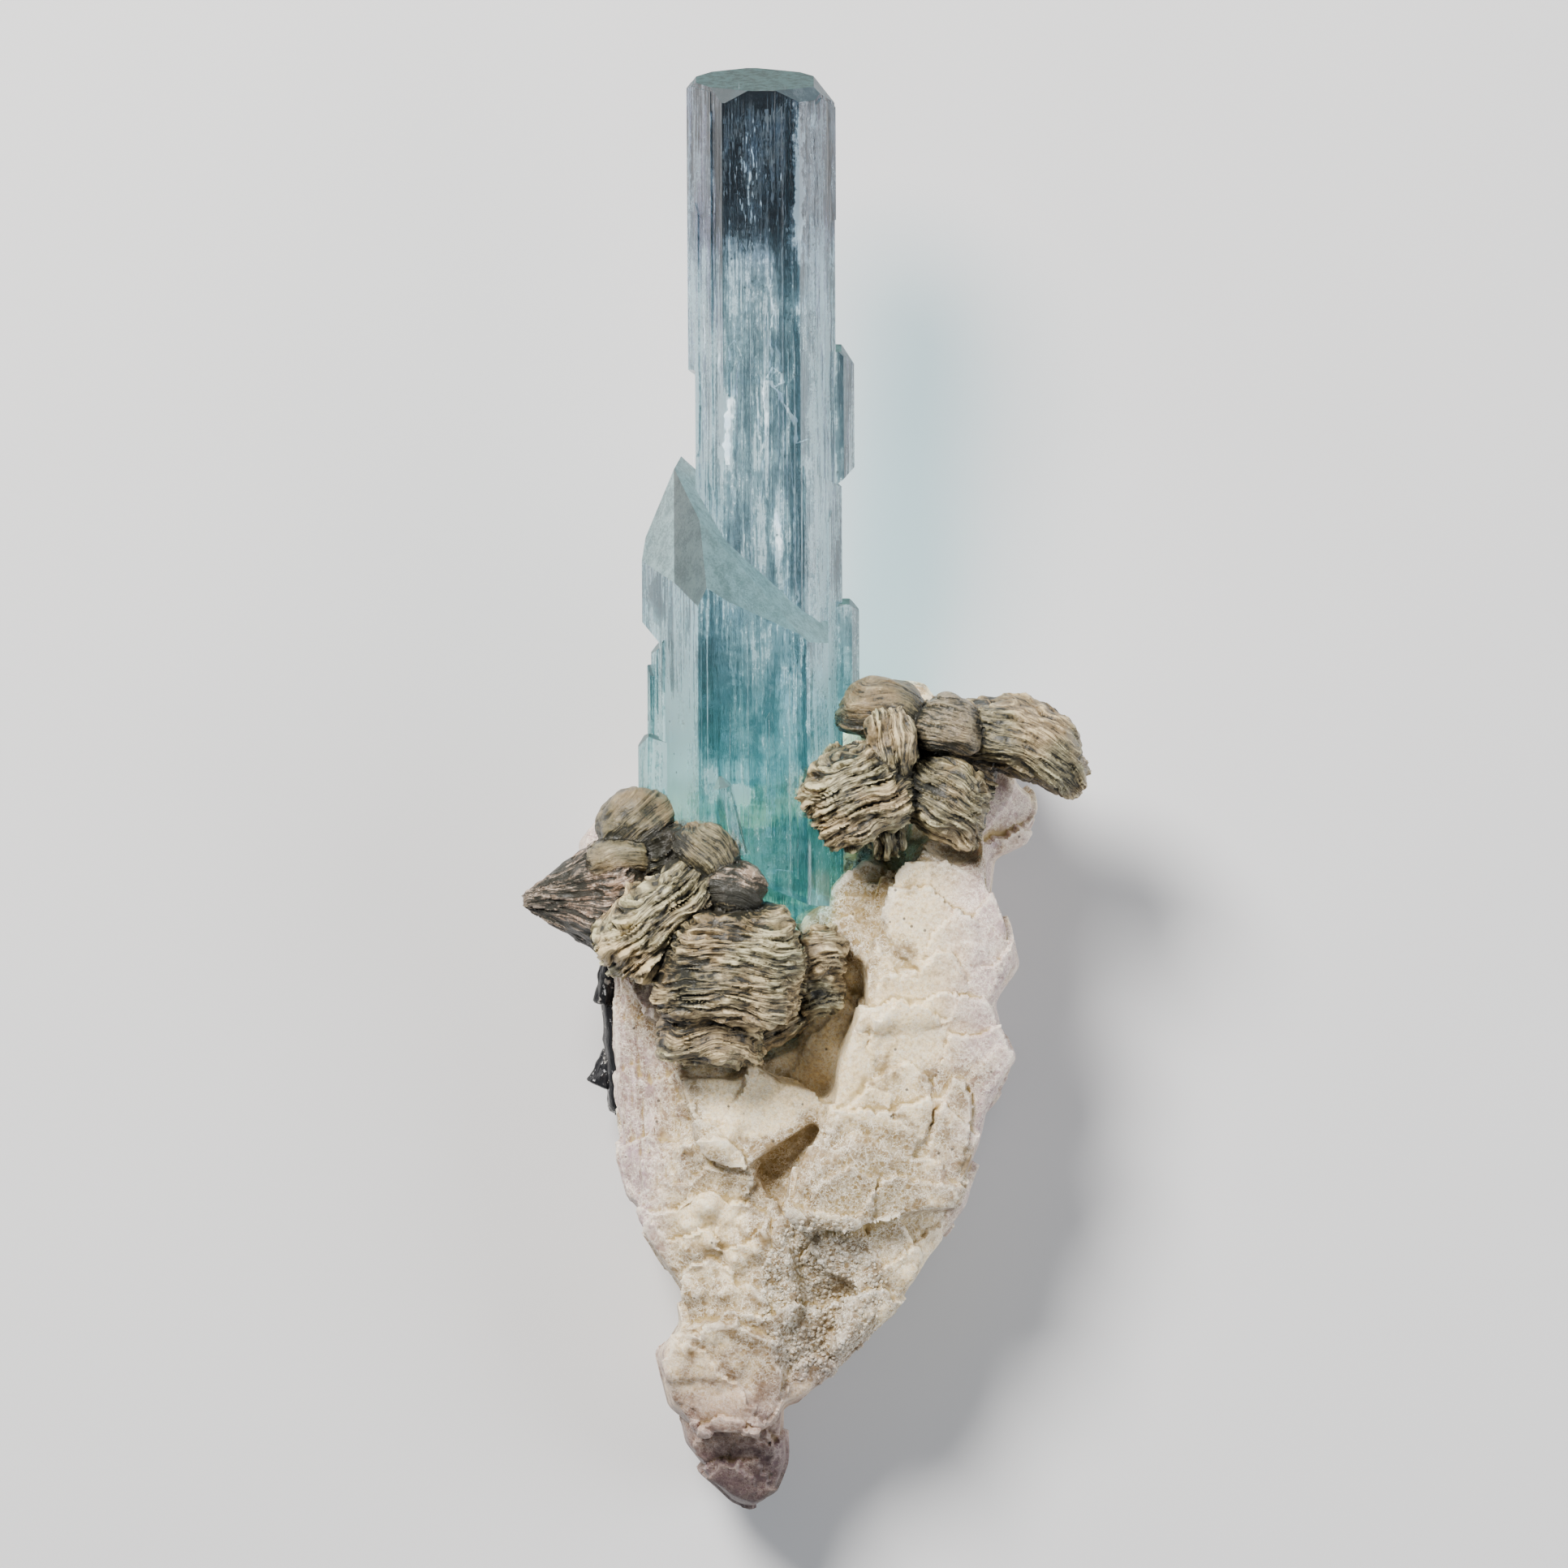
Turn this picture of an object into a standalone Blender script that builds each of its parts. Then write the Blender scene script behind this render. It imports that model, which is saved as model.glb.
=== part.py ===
"""A long aquamarine crystal group growing from white albite between two clusters of mica books.

The piece lies on its broken-off back: +Y runs to the crystal's tip and +Z is the side that is
looked at. Lengths below are in millimetres and become metres when a mesh is made.
"""
import math
import random
from collections import namedtuple

import bmesh
import bpy
from mathutils import Matrix, Vector, noise

MM = 0.001
GAP = 0.3
BOOK_GAP = 1.25
NOTHING = 1e-6

# The crystal's own frame: x to the right, y along the crystal, z out of its front face.
CRYSTAL_FOOT = (-4.5, -11.3, 17.0)
CRYSTAL_RISE = math.radians(12.2)
CRYSTAL_LEAN = math.radians(0.3)
MAIN_FLAT = 6.8
MAIN_CORNER = 7.85
MAIN_LENGTH = 87.2
SECOND_CENTRE = (-2.98, 3.4)

# The back that the piece lies on, and how high the core of the matrix stands on it.
BACK = 0.0
CORE_TOP = 17.0
FOOT_WIDTH = 0.76
WAIST = 0.62
RIM_WIDTH = 0.95
ROCK_VOXEL = 0.6
ROCK_FACES = 2500
ROUGH_BROAD = 0.45
ROUGH_FINE = 0.16

Block = namedtuple("Block", "outline foot top slope")


def clear_scene():
    for thing in list(bpy.data.objects):
        bpy.data.objects.remove(thing, do_unlink=True)


def principled(name, colour, roughness, transmission=0.0, ior=1.5):
    material = bpy.data.materials.new(name)
    material.use_nodes = True
    material.diffuse_color = (*colour, 1.0)
    shader = material.node_tree.nodes["Principled BSDF"]
    shader.inputs["Base Color"].default_value = (*colour, 1.0)
    shader.inputs["Roughness"].default_value = roughness
    shader.inputs["Metallic"].default_value = 0.0
    shader.inputs["Transmission Weight"].default_value = transmission
    shader.inputs["IOR"].default_value = ior
    return material


def object_from(bm, name):
    """Turn millimetres into metres and put the mesh in the scene."""
    bmesh.ops.scale(bm, vec=(MM, MM, MM), verts=bm.verts)
    bmesh.ops.recalc_face_normals(bm, faces=bm.faces)
    mesh = bpy.data.meshes.new(name)
    bm.to_mesh(mesh)
    bm.free()
    made = bpy.data.objects.new(name, mesh)
    bpy.context.scene.collection.objects.link(made)
    return made


def join(pieces, name):
    """One object from several closed meshes that may overlap."""
    whole = bmesh.new()
    for piece in pieces:
        bmesh.ops.recalc_face_normals(piece, faces=piece.faces)
        mesh = bpy.data.meshes.new("piece")
        piece.to_mesh(mesh)
        piece.free()
        whole.from_mesh(mesh)
        bpy.data.meshes.remove(mesh)
    bmesh.ops.scale(whole, vec=(MM, MM, MM), verts=whole.verts)
    mesh = bpy.data.meshes.new(name)
    whole.to_mesh(mesh)
    whole.free()
    made = bpy.data.objects.new(name, mesh)
    bpy.context.scene.collection.objects.link(made)
    return made


def freeze(target):
    """Make the mesh what its modifiers give, and drop them."""
    bpy.context.view_layer.update()
    view = bpy.context.evaluated_depsgraph_get()
    result = bpy.data.meshes.new_from_object(target.evaluated_get(view))
    target.modifiers.clear()
    target.data = result


def combine(base, others, operation, solver="EXACT"):
    """Join the others to the base or cut them out of it, and remove them."""
    for other in others:
        change = base.modifiers.new(operation, "BOOLEAN")
        change.operation = operation
        change.solver = solver
        change.object = other
    freeze(base)
    for other in others:
        bpy.data.objects.remove(other, do_unlink=True)
    return base


def tidy(target):
    """Drop the loose scraps that a cut leaves and make triangles."""
    bm = bmesh.new()
    bm.from_mesh(target.data)
    keep_largest(bm)
    bmesh.ops.triangulate(bm, faces=bm.faces)
    bm.to_mesh(target.data)
    bm.free()


def keep_largest(bm):
    """Delete every part that isn't joined to the largest one."""
    left = set(bm.verts)
    groups = []
    while left:
        front = [left.pop()]
        group = list(front)
        while front:
            vert = front.pop()
            for edge in vert.link_edges:
                near = edge.other_vert(vert)
                if near in left:
                    left.discard(near)
                    front.append(near)
                    group.append(near)
        groups.append(group)
    groups.sort(key=len, reverse=True)
    scraps = [vert for group in groups[1:] for vert in group]
    bmesh.ops.delete(bm, geom=scraps, context="VERTS")


def cut_plane(bm, normal, distance):
    """Cut off what lies beyond a plane and close the cut."""
    normal = Vector(normal)
    length = normal.length
    normal = normal / length
    cut = bmesh.ops.bisect_plane(
        bm,
        geom=bm.verts[:] + bm.edges[:] + bm.faces[:],
        dist=NOTHING,
        plane_co=normal * (distance / length),
        plane_no=normal,
        clear_outer=True,
    )
    rim = [edge for edge in cut["geom_cut"] if isinstance(edge, bmesh.types.BMEdge)]
    if rim:
        bmesh.ops.contextual_create(bm, geom=rim)


def crystal_cell(centre, sides, top, bottom, facets=(), roofs=(), feet=(), grow=0.0):
    """One straight crystal, cut from a block by planes.

    sides: azimuth in degrees (90 is the front) and distance from the centre line
    facets: azimuth, slope from the flat end in degrees, corner radius, drop at that corner
    roofs, feet: a, b, c of the planes y = a + b x + c z that end it above and below
    """
    cx, cz = centre
    bm = bmesh.new()
    bmesh.ops.create_cube(bm, size=400.0)
    for azimuth, distance in sides:
        turn = math.radians(azimuth)
        normal = Vector((math.cos(turn), 0.0, math.sin(turn)))
        cut_plane(bm, normal, distance + grow + normal.x * cx + normal.z * cz)
    cut_plane(bm, (0.0, 1.0, 0.0), top + grow)
    cut_plane(bm, (0.0, -1.0, 0.0), grow - bottom)
    for azimuth, slope, radius, drop in facets:
        turn = math.radians(azimuth)
        tip = math.radians(slope)
        normal = Vector(
            (math.sin(tip) * math.cos(turn), math.cos(tip), math.sin(tip) * math.sin(turn))
        )
        reach = math.sin(tip) * radius + math.cos(tip) * (top - drop)
        cut_plane(bm, normal, reach + grow + normal.x * cx + normal.z * cz)
    for a, b, c in roofs:
        normal = Vector((-b, 1.0, -c))
        cut_plane(bm, normal, a + grow * normal.length)
    for a, b, c in feet:
        normal = Vector((b, -1.0, c))
        cut_plane(bm, normal, grow * normal.length - a)
    return bm


def main_prism(grow):
    """The long hexagonal prism: flat end, corner facets, narrow bevels on its edges."""
    sides = [(90, MAIN_FLAT), (30, 7.82), (-30, 5.72), (-90, MAIN_FLAT), (-150, 6.76), (150, 6.78)]
    sides += [(60, 7.9), (120, 7.73), (0, 7.72), (180, 6.97), (-60, 7.1), (-120, 7.7)]
    facets = [(120, 47, MAIN_CORNER, 1.4), (60, 45, 8.44, 1.75), (0, 45, 7.82, 2.25)]
    facets += [(180, 45, 7.0, 0.3), (-60, 45, 7.23, 1.5), (-120, 45, 7.83, 1.2)]
    return crystal_cell((0.0, 0.0), sides, MAIN_LENGTH, -1.4, facets, grow=grow)


def upper_left_plate(grow):
    """The growth step that ends in a notch half way up the left edge."""
    sides = [(90, 6.6), (150, 6.84), (-150, 6.82), (180, 7.7), (0, -5.2), (-90, 6.5)]
    facets = [(180, 45, 7.7, 0.7), (150, 45, 6.84, 0.25), (-150, 45, 6.82, 0.25)]
    feet = [(52.6, -0.5, 0.35)]
    return crystal_cell((0.0, 0.0), sides, 86.95, 40.0, facets, feet=feet, grow=grow)


def upper_right_plate(grow):
    """A thin step on the right face that stops a third of the way down."""
    sides = [(30, 7.97), (-30, 5.86), (0, 7.84), (60, 7.86), (180, -4.6), (-90, 5.0)]
    facets = [(0, 45, 7.84, 2.35), (60, 45, 8.44, 1.9)]
    feet = [(70.0, 0.3, 0.15)]
    return crystal_cell((0.0, 0.0), sides, 86.9, 60.0, facets, feet=feet, grow=grow)


def lower_right_plate(grow):
    """The thicker growth that widens the right edge of the lower half."""
    sides = [(30, 7.94), (-30, 6.75), (0, 8.3), (60, 7.98), (90, 6.7), (180, -3.0), (-90, 6.4)]
    roofs = [(49.8, -0.7, 0.1)]
    return crystal_cell((0.0, 0.0), sides, 60.0, -1.0, roofs=roofs, grow=grow)


def right_slab(grow):
    """The slab that stands out of the right edge at mid height."""
    sides = [(90, 2.1), (30, 2.3), (-30, 2.3), (-90, 2.2), (0, 2.55), (180, 2.6)]
    facets = [(0, 52, 2.55, 1.7), (30, 50, 2.3, 0.5)]
    feet = [(38.35, 0.8, 0.0)]
    return crystal_cell((7.1, 0.3), sides, 58.7, 30.0, facets, feet=feet, grow=grow)


def right_finger(grow):
    """The slim crystal beside the right edge, just above the mica."""
    sides = [(90, 1.55), (30, 1.65), (-30, 1.7), (-90, 1.6), (0, 1.75), (180, 2.2)]
    facets = [(0, 42, 1.75, 0.9), (120, 35, 1.9, 0.5)]
    return crystal_cell((8.3, 0.9), sides, 31.8, 19.2, facets, grow=grow)


def second_prism(grow):
    """The broad prism in front at the left, ended by the slanting roof."""
    sides = [(90, 8.8), (97, 8.81), (150, 7.5), (120, 9.29), (30, 11.1), (60, 11.37)]
    sides += [(0, 9.78), (-90, 6.0), (-150, 9.3), (180, 9.72), (-30, 9.6)]
    roofs = [
        (48.55, -0.471, -1.319),
        (37.98, -0.933, -0.307),
        (70.45, 2.37, -1.76),
        (73.69, 2.72, -1.76),
        (67.8, 2.39, 0.3),
    ]
    feet = [(3.8, -0.44, 0.0)]
    return crystal_cell(SECOND_CENTRE, sides, 60.0, -2.0, roofs=roofs, feet=feet, grow=grow)


def second_prism_break():
    """What is broken away under the second prism's left corner."""
    sides = [(0, -10.9), (180, 20.0), (90, 20.0), (-90, 20.0)]
    roofs = [(18.45, -0.9, 0.0), (42.5, 1.0, 0.0)]
    return crystal_cell((0.0, 0.0), sides, 60.0, -20.0, roofs=roofs)


def left_plates(grow):
    """Two narrow plates one above the other on the broken left corner."""
    upper_sides = [(90, 1.5), (-90, 1.6), (150, 1.35), (-150, 1.35), (180, 1.25), (0, 2.4)]
    upper = crystal_cell(
        (-10.5, 2.4), upper_sides, 27.6, 17.0, facets=[(180, 45, 1.25, 0.9)], grow=grow
    )
    lower_sides = [(90, 1.4), (-90, 1.7), (150, 1.5), (-150, 1.5), (180, 1.3), (0, 2.4)]
    lower = crystal_cell((-10.86, 1.9), lower_sides, 19.5, 12.0, grow=grow)
    return [upper, lower]


def third_prism(grow):
    """The short prism at the far left with a chisel-shaped end."""
    sides = [(90, 2.7), (-90, 2.7), (150, 2.8), (-150, 2.85), (180, 2.97), (0, 3.2), (120, 2.95)]
    roofs = [(35.2, 1.39, 0.0), (14.8, -0.3, 0.0), (17.3, 0.0, 0.28)]
    return crystal_cell((-10.2, 3.3), sides, 30.0, 6.0, roofs=roofs, grow=grow)


def small_point(grow):
    """The little pointed crystal that leans out of the front, low down."""
    sides = [(azimuth, 0.9) for azimuth in range(15, 375, 60)]
    facets = [(azimuth, 57, 0.9, 1.15) for azimuth in range(15, 375, 60)]
    bm = crystal_cell((0.0, 0.0), sides, 0.0, -8.6, facets, grow=grow)
    lean = Matrix.Translation((-4.6, 15.6, 12.35)) @ Matrix.Rotation(math.radians(13), 4, "Z")
    bmesh.ops.transform(bm, matrix=lean, verts=bm.verts)
    return bm


def growth_plate(face, distance, shift, width, proud, low, high, slant, centre=(0.0, 0.0)):
    """A low striation plate lying on a side face.

    face: the face's azimuth; distance: how far that face is from the centre line
    shift: place across the face; slant: how much the two ends run askew
    """
    turn = math.radians(face)
    across = Vector((math.sin(turn), 0.0, -math.cos(turn)))
    middle = across * shift
    cell_centre = (centre[0] + middle.x, centre[1] + middle.z)
    half = 0.5 * width
    sides = [(face, distance + proud), (face + 180, 0.7 - distance)]
    sides += [(face - 90, half), (face + 90, half)]
    bevel = distance + proud - 0.5 * proud
    sides += [(face - 45, (bevel + half) * math.sqrt(0.5)), (face + 45, (bevel + half) * math.sqrt(0.5))]
    offset = slant * across.dot(Vector((cell_centre[0], 0.0, cell_centre[1])))
    roofs = [(high - offset, slant * across.x, slant * across.z)]
    feet = [(low + offset, -slant * across.x, -slant * across.z)]
    return crystal_cell(cell_centre, sides, high + 20, low - 20, roofs=roofs, feet=feet)


def growth_plates():
    """The steps and ridges that run down the faces of the two big prisms."""
    made = []
    made.append(growth_plate(90, MAIN_FLAT, 2.0, 0.5, 0.14, 41.0, 85.2, 1.5))
    made.append(growth_plate(90, MAIN_FLAT, -1.6, 0.9, 0.12, 34.0, 70.5, -2.0))
    made.append(growth_plate(90, MAIN_FLAT, 0.5, 0.4, 0.16, 44.0, 63.5, 2.0))
    made.append(growth_plate(90, MAIN_FLAT, 3.0, 0.9, 0.18, 27.0, 56.5, 1.2))
    made.append(growth_plate(90, MAIN_FLAT, -2.9, 0.7, 0.2, 46.5, 58.0, 1.8))
    made.append(growth_plate(150, 6.78, 1.2, 0.9, 0.16, 45.0, 84.3, 1.0))
    made.append(growth_plate(150, 6.78, -1.4, 0.7, 0.2, 48.0, 74.0, -1.6))
    made.append(growth_plate(30, 7.94, 0.2, 0.8, 0.16, 10.0, 41.5, 1.4))
    made.append(growth_plate(30, 7.94, -2.0, 0.7, 0.14, 16.0, 38.0, -1.4))
    second = SECOND_CENTRE
    made.append(growth_plate(90, 8.8, 1.1, 0.6, 0.16, 8.0, 31.5, 1.6, second))
    made.append(growth_plate(90, 8.8, 6.1, 0.9, 0.18, 5.0, 27.0, 1.2, second))
    made.append(growth_plate(90, 8.8, 3.4, 0.4, 0.2, 12.0, 22.0, 1.8, second))
    made.append(growth_plate(97, 8.81, -2.1, 0.7, 0.16, 14.0, 30.0, 1.8, second))
    made.append(growth_plate(150, 7.5, -2.2, 1.1, 0.24, 9.0, 28.0, 1.4, second))
    made.append(growth_plate(150, 7.5, -4.6, 0.9, 0.28, 12.0, 25.0, -1.2, second))
    return made


def crystal_cells(grow=0.0):
    """Every straight crystal of the group, in the crystal's own frame."""
    cells = [main_prism(grow), upper_left_plate(grow), upper_right_plate(grow)]
    cells += [lower_right_plate(grow), right_slab(grow), right_finger(grow)]
    cells += left_plates(grow)
    cells += [third_prism(grow), small_point(grow)]
    return cells


def place_crystal(target):
    target.location = Vector(CRYSTAL_FOOT) * MM
    target.rotation_euler = (CRYSTAL_RISE, 0.0, CRYSTAL_LEAN)


def make_crystal(material):
    """The whole aquamarine group as one solid."""
    body = object_from(second_prism(0.0), "aquamarine_crystal")
    combine(body, [object_from(second_prism_break(), "break")], "DIFFERENCE")
    cells = [object_from(bm, "cell") for bm in crystal_cells() + growth_plates()]
    combine(body, cells, "UNION")
    tidy(body)
    body.data.materials.clear()
    body.data.materials.append(material)
    place_crystal(body)
    return body


def crystal_cutter():
    """The crystal group grown by the gap, to cut its neighbours with."""
    body = object_from(second_prism(GAP), "crystal_cutter")
    cells = [object_from(bm, "cell") for bm in crystal_cells(GAP)]
    combine(body, cells, "UNION")
    place_crystal(body)
    body.hide_render = True
    body.display_type = "WIRE"
    return body


def barrel(place, sharp, point):
    """How wide a leaf is at a place from -1 to 1 through the thickness of its book."""
    rounding = (1.0 - abs(place) ** sharp) ** 0.5
    taper = 1.0 - point * 0.5 * (place + 1.0)
    return (0.38 + 0.62 * rounding) * taper


def leaf_outline(along, deep, count, wobble, seed):
    """A rounded, uneven six-sided leaf."""
    points = []
    for step in range(count):
        turn = 2.0 * math.pi * step / count
        uneven = noise.noise(Vector((math.cos(turn) * 1.3, math.sin(turn) * 1.3, seed)))
        corner = 1.0 + 0.05 * math.cos(6.0 * turn) + wobble * uneven
        squared = (abs(math.cos(turn)) ** 2.6 + abs(math.sin(turn)) ** 2.6) ** (-1.0 / 2.6)
        reach = corner * squared
        points.append((along * reach * math.cos(turn), deep * reach * math.sin(turn)))
    return points


def mica_book(place, heading, size, ledges, tip=0.0, fan=0.0, dome=0.0, point=0.0, sharp=2.4,
              count=12, stepped=True, grow=0.0, seed=1.0):
    """A book of mica as one closed stack of ledges.

    place: its middle; heading: the direction of the leaf edges in plan, in degrees
    size: half length along the edges, half depth, half thickness across the leaves
    tip: how far the stack leans up towards the viewer, in degrees
    fan: how much thicker one end is; dome: how far the leaves arch; point: taper of the stack
    stepped: whether each ledge has a square edge, or the sides run on smoothly
    grow: a plain copy of the stack, this much larger all round, to cut its neighbours with
    """
    along, deep, thick = size
    lean = math.radians(tip)
    turn = math.radians(heading)
    line = Vector((math.cos(turn), math.sin(turn), 0.0))
    flat = Vector((-math.sin(turn), math.cos(turn), 0.0))
    stack = flat * math.cos(lean) + Vector((0.0, 0.0, math.sin(lean)))
    depth = line.cross(stack)
    if grow:
        ledges, count, stepped = 4, 12, False
    bm = bmesh.new()
    rings = []
    step = 2.0 / ledges
    for ledge in range(ledges + (0 if stepped else 1)):
        middle = -1.0 + step * (ledge + (0.5 if stepped else 0.0))
        wide = barrel(middle * 0.97, sharp, point)
        wobble, slip = 0.0, 0.0
        if not grow:
            wide *= 1.0 + 0.13 * noise.noise(Vector((ledge * 1.7, seed, 0.5)))
            wobble = 0.14
            slip = 0.16 * along * noise.noise(Vector((ledge * 0.9, 4.0, seed)))
        if stepped and ledge % 2:
            wide *= 0.92
        outline = leaf_outline(along * wide + grow, deep * wide + grow, count, wobble, seed + ledge)
        for end in (-0.4, 0.4) if stepped else (0.0,):
            level = (middle + end * step) * (thick + grow)
            ring = []
            for s, r in outline:
                s += slip
                rise = level * (1.0 + fan * s / along)
                rise -= dome * ((s / along) ** 2 + 0.4 * (r / deep) ** 2)
                ring.append(bm.verts.new(Vector(place) + line * s + depth * r + stack * rise))
            rings.append(ring)
    for lower, upper in zip(rings, rings[1:]):
        for here in range(count):
            after = (here + 1) % count
            bm.faces.new((lower[here], lower[after], upper[after], upper[here]))
    bm.faces.new(list(reversed(rings[0])))
    bm.faces.new(rings[-1])
    bmesh.ops.triangulate(bm, faces=bm.faces)
    return bm


def left_books(grow=0.0):
    """The books left of the crystal's foot and in front of it."""
    def book(*where, **how):
        return mica_book(*where, grow=grow, **how)

    return [
        book((-7.8, -18.5, 31.3), -5, (7.5, 6.8, 7.0), 9, tip=8, dome=1.4, count=14, seed=1),
        book((-15.3, -14.3, 30.0), 38, (8.0, 5.8, 4.6), 8, tip=6, fan=0.2, seed=2),
        book((-23.9, -11.2, 22.5), 97, (6.7, 5.8, 6.1), 9, point=0.9, sharp=6.0, dome=0.3,
             count=14, stepped=False, seed=3),
        book((-19.2, -7.0, 25.5), 8, (4.6, 4.2, 2.2), 4, tip=15, dome=0.5, count=10, seed=4),
        book((-18.3, -3.2, 24.0), 42, (4.2, 4.4, 3.3), 4, tip=20, dome=0.7, seed=5),
        book((-13.2, -8.2, 24.5), 30, (4.4, 3.6, 2.6), 2, dome=0.3, count=10, seed=6),
        book((-9.9, -6.3, 30.6), -52, (4.1, 3.9, 3.1), 4, tip=10, dome=0.9, seed=7),
        book((-7.4, -10.3, 31.2), -12, (3.3, 3.6, 2.9), 3, tip=10, dome=0.6, seed=8),
        book((-10.3, -25.6, 28.3), -3, (5.2, 5.4, 3.4), 5, dome=0.7, seed=9),
        book((1.3, -17.0, 28.4), 12, (2.6, 3.6, 2.5), 3, dome=0.5, count=10, seed=10),
        book((0.9, -20.8, 27.0), 16, (2.8, 3.6, 2.5), 3, dome=0.4, count=10, seed=11),
        book((-3.4, -25.2, 24.6), 24, (4.0, 3.8, 1.4), 2, count=10, seed=12),
    ]


def right_books(grow=0.0):
    """The books right of the crystal."""
    def book(*where, **how):
        return mica_book(*where, grow=grow, **how)

    return [
        book((22.6, 5.4, 24.8), -22, (7.5, 6.2, 4.3), 8, tip=4, dome=2.2, seed=21),
        book((4.9, -0.5, 31.4), 20, (5.7, 5.4, 4.9), 8, tip=5, dome=0.3, seed=22),
        book((14.4, -1.0, 28.6), -27, (5.2, 5.4, 4.2), 6, tip=8, dome=1.3, seed=23),
        book((8.1, 8.7, 26.6), -8, (4.9, 5.0, 3.2), 4, tip=14, dome=1.2, seed=24),
        book((8.8, 4.7, 32.4), 97, (3.4, 3.4, 2.3), 4, count=10, seed=25),
        book((14.8, 6.7, 29.4), -8, (3.3, 3.8, 2.9), 4, tip=10, dome=0.5, count=10, seed=26),
        book((8.2, -4.9, 26.8), 95, (2.3, 3.2, 2.0), 3, count=10, seed=27),
        book((13.6, 3.2, 22.8), -12, (7.0, 4.6, 5.0), 3, dome=0.4, seed=28),
    ]


def make_books(name, books, crystal, material):
    """A cluster of books as one solid, cut clear of the crystal."""
    body = object_from(books[0], name)
    combine(body, [object_from(bm, "book") for bm in books[1:]], "UNION", solver="MANIFOLD")
    cutter = crystal.copy()
    bpy.context.scene.collection.objects.link(cutter)
    combine(body, [cutter], "DIFFERENCE", solver="MANIFOLD")
    tidy(body)
    body.data.materials.clear()
    body.data.materials.append(material)
    return body


def chunk(block):
    """A block of the matrix: widest at its waist, drawn in to its foot, its upper face sloping."""
    bm = bmesh.new()
    middle_x = sum(x for x, y in block.outline) / len(block.outline)
    middle_y = sum(y for x, y in block.outline) / len(block.outline)
    waist = block.foot + WAIST * (block.top - block.foot)
    rings = []
    for level, width in ((block.foot, FOOT_WIDTH), (waist, 1.0), (block.top, RIM_WIDTH)):
        ring = []
        for x, y in block.outline:
            away_x, away_y = width * (x - middle_x), width * (y - middle_y)
            lift = block.slope[0] * away_x + block.slope[1] * away_y
            rise = lift if level == block.top else 0.5 * lift if level == waist else 0.0
            ring.append(bm.verts.new((middle_x + away_x, middle_y + away_y, level + rise)))
        rings.append(ring)
    for lower, upper in zip(rings, rings[1:]):
        for here in range(len(lower)):
            after = (here + 1) % len(lower)
            bm.faces.new((lower[here], lower[after], upper[after], upper[here]))
    bm.faces.new(rings[0])
    bm.faces.new(rings[-1])
    return bm


def inside(x, y, outline):
    """Whether a point lies within an outline."""
    crossings = 0
    for (x0, y0), (x1, y1) in zip(outline, outline[1:] + outline[:1]):
        if (y0 > y) != (y1 > y) and x < x0 + (x1 - x0) * (y - y0) / (y1 - y0):
            crossings += 1
    return crossings % 2 == 1


def scales(block, count, size, seed):
    """Broken cleavage steps standing a little proud of a block's upper face."""
    dice = random.Random(seed)
    xs = [x for x, y in block.outline]
    ys = [y for x, y in block.outline]
    middle_x = sum(xs) / len(xs)
    middle_y = sum(ys) / len(ys)
    made = []
    while len(made) < count:
        x = dice.uniform(min(xs), max(xs))
        y = dice.uniform(min(ys), max(ys))
        if not inside(x, y, block.outline):
            continue
        reach = size * dice.uniform(0.6, 1.3)
        turn = dice.uniform(0.0, math.pi)
        outline = []
        for corner in range(5):
            angle = turn + corner * 2.0 * math.pi / 5.0 + dice.uniform(-0.35, 0.35)
            arm = reach * dice.uniform(0.7, 1.15)
            while not inside(x + arm * math.cos(angle), y + arm * math.sin(angle), block.outline):
                arm *= 0.85
            outline.append((x + arm * math.cos(angle), y + arm * math.sin(angle)))
        surface = block.top + block.slope[0] * (x - middle_x) + block.slope[1] * (y - middle_y)
        rise = dice.uniform(0.25, 0.8)
        tilt = (block.slope[0] + dice.uniform(-0.1, 0.1), block.slope[1] + dice.uniform(-0.1, 0.1))
        made.append(chunk(Block(outline, surface - 2.5, surface + rise, tilt)))
    return made


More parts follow.
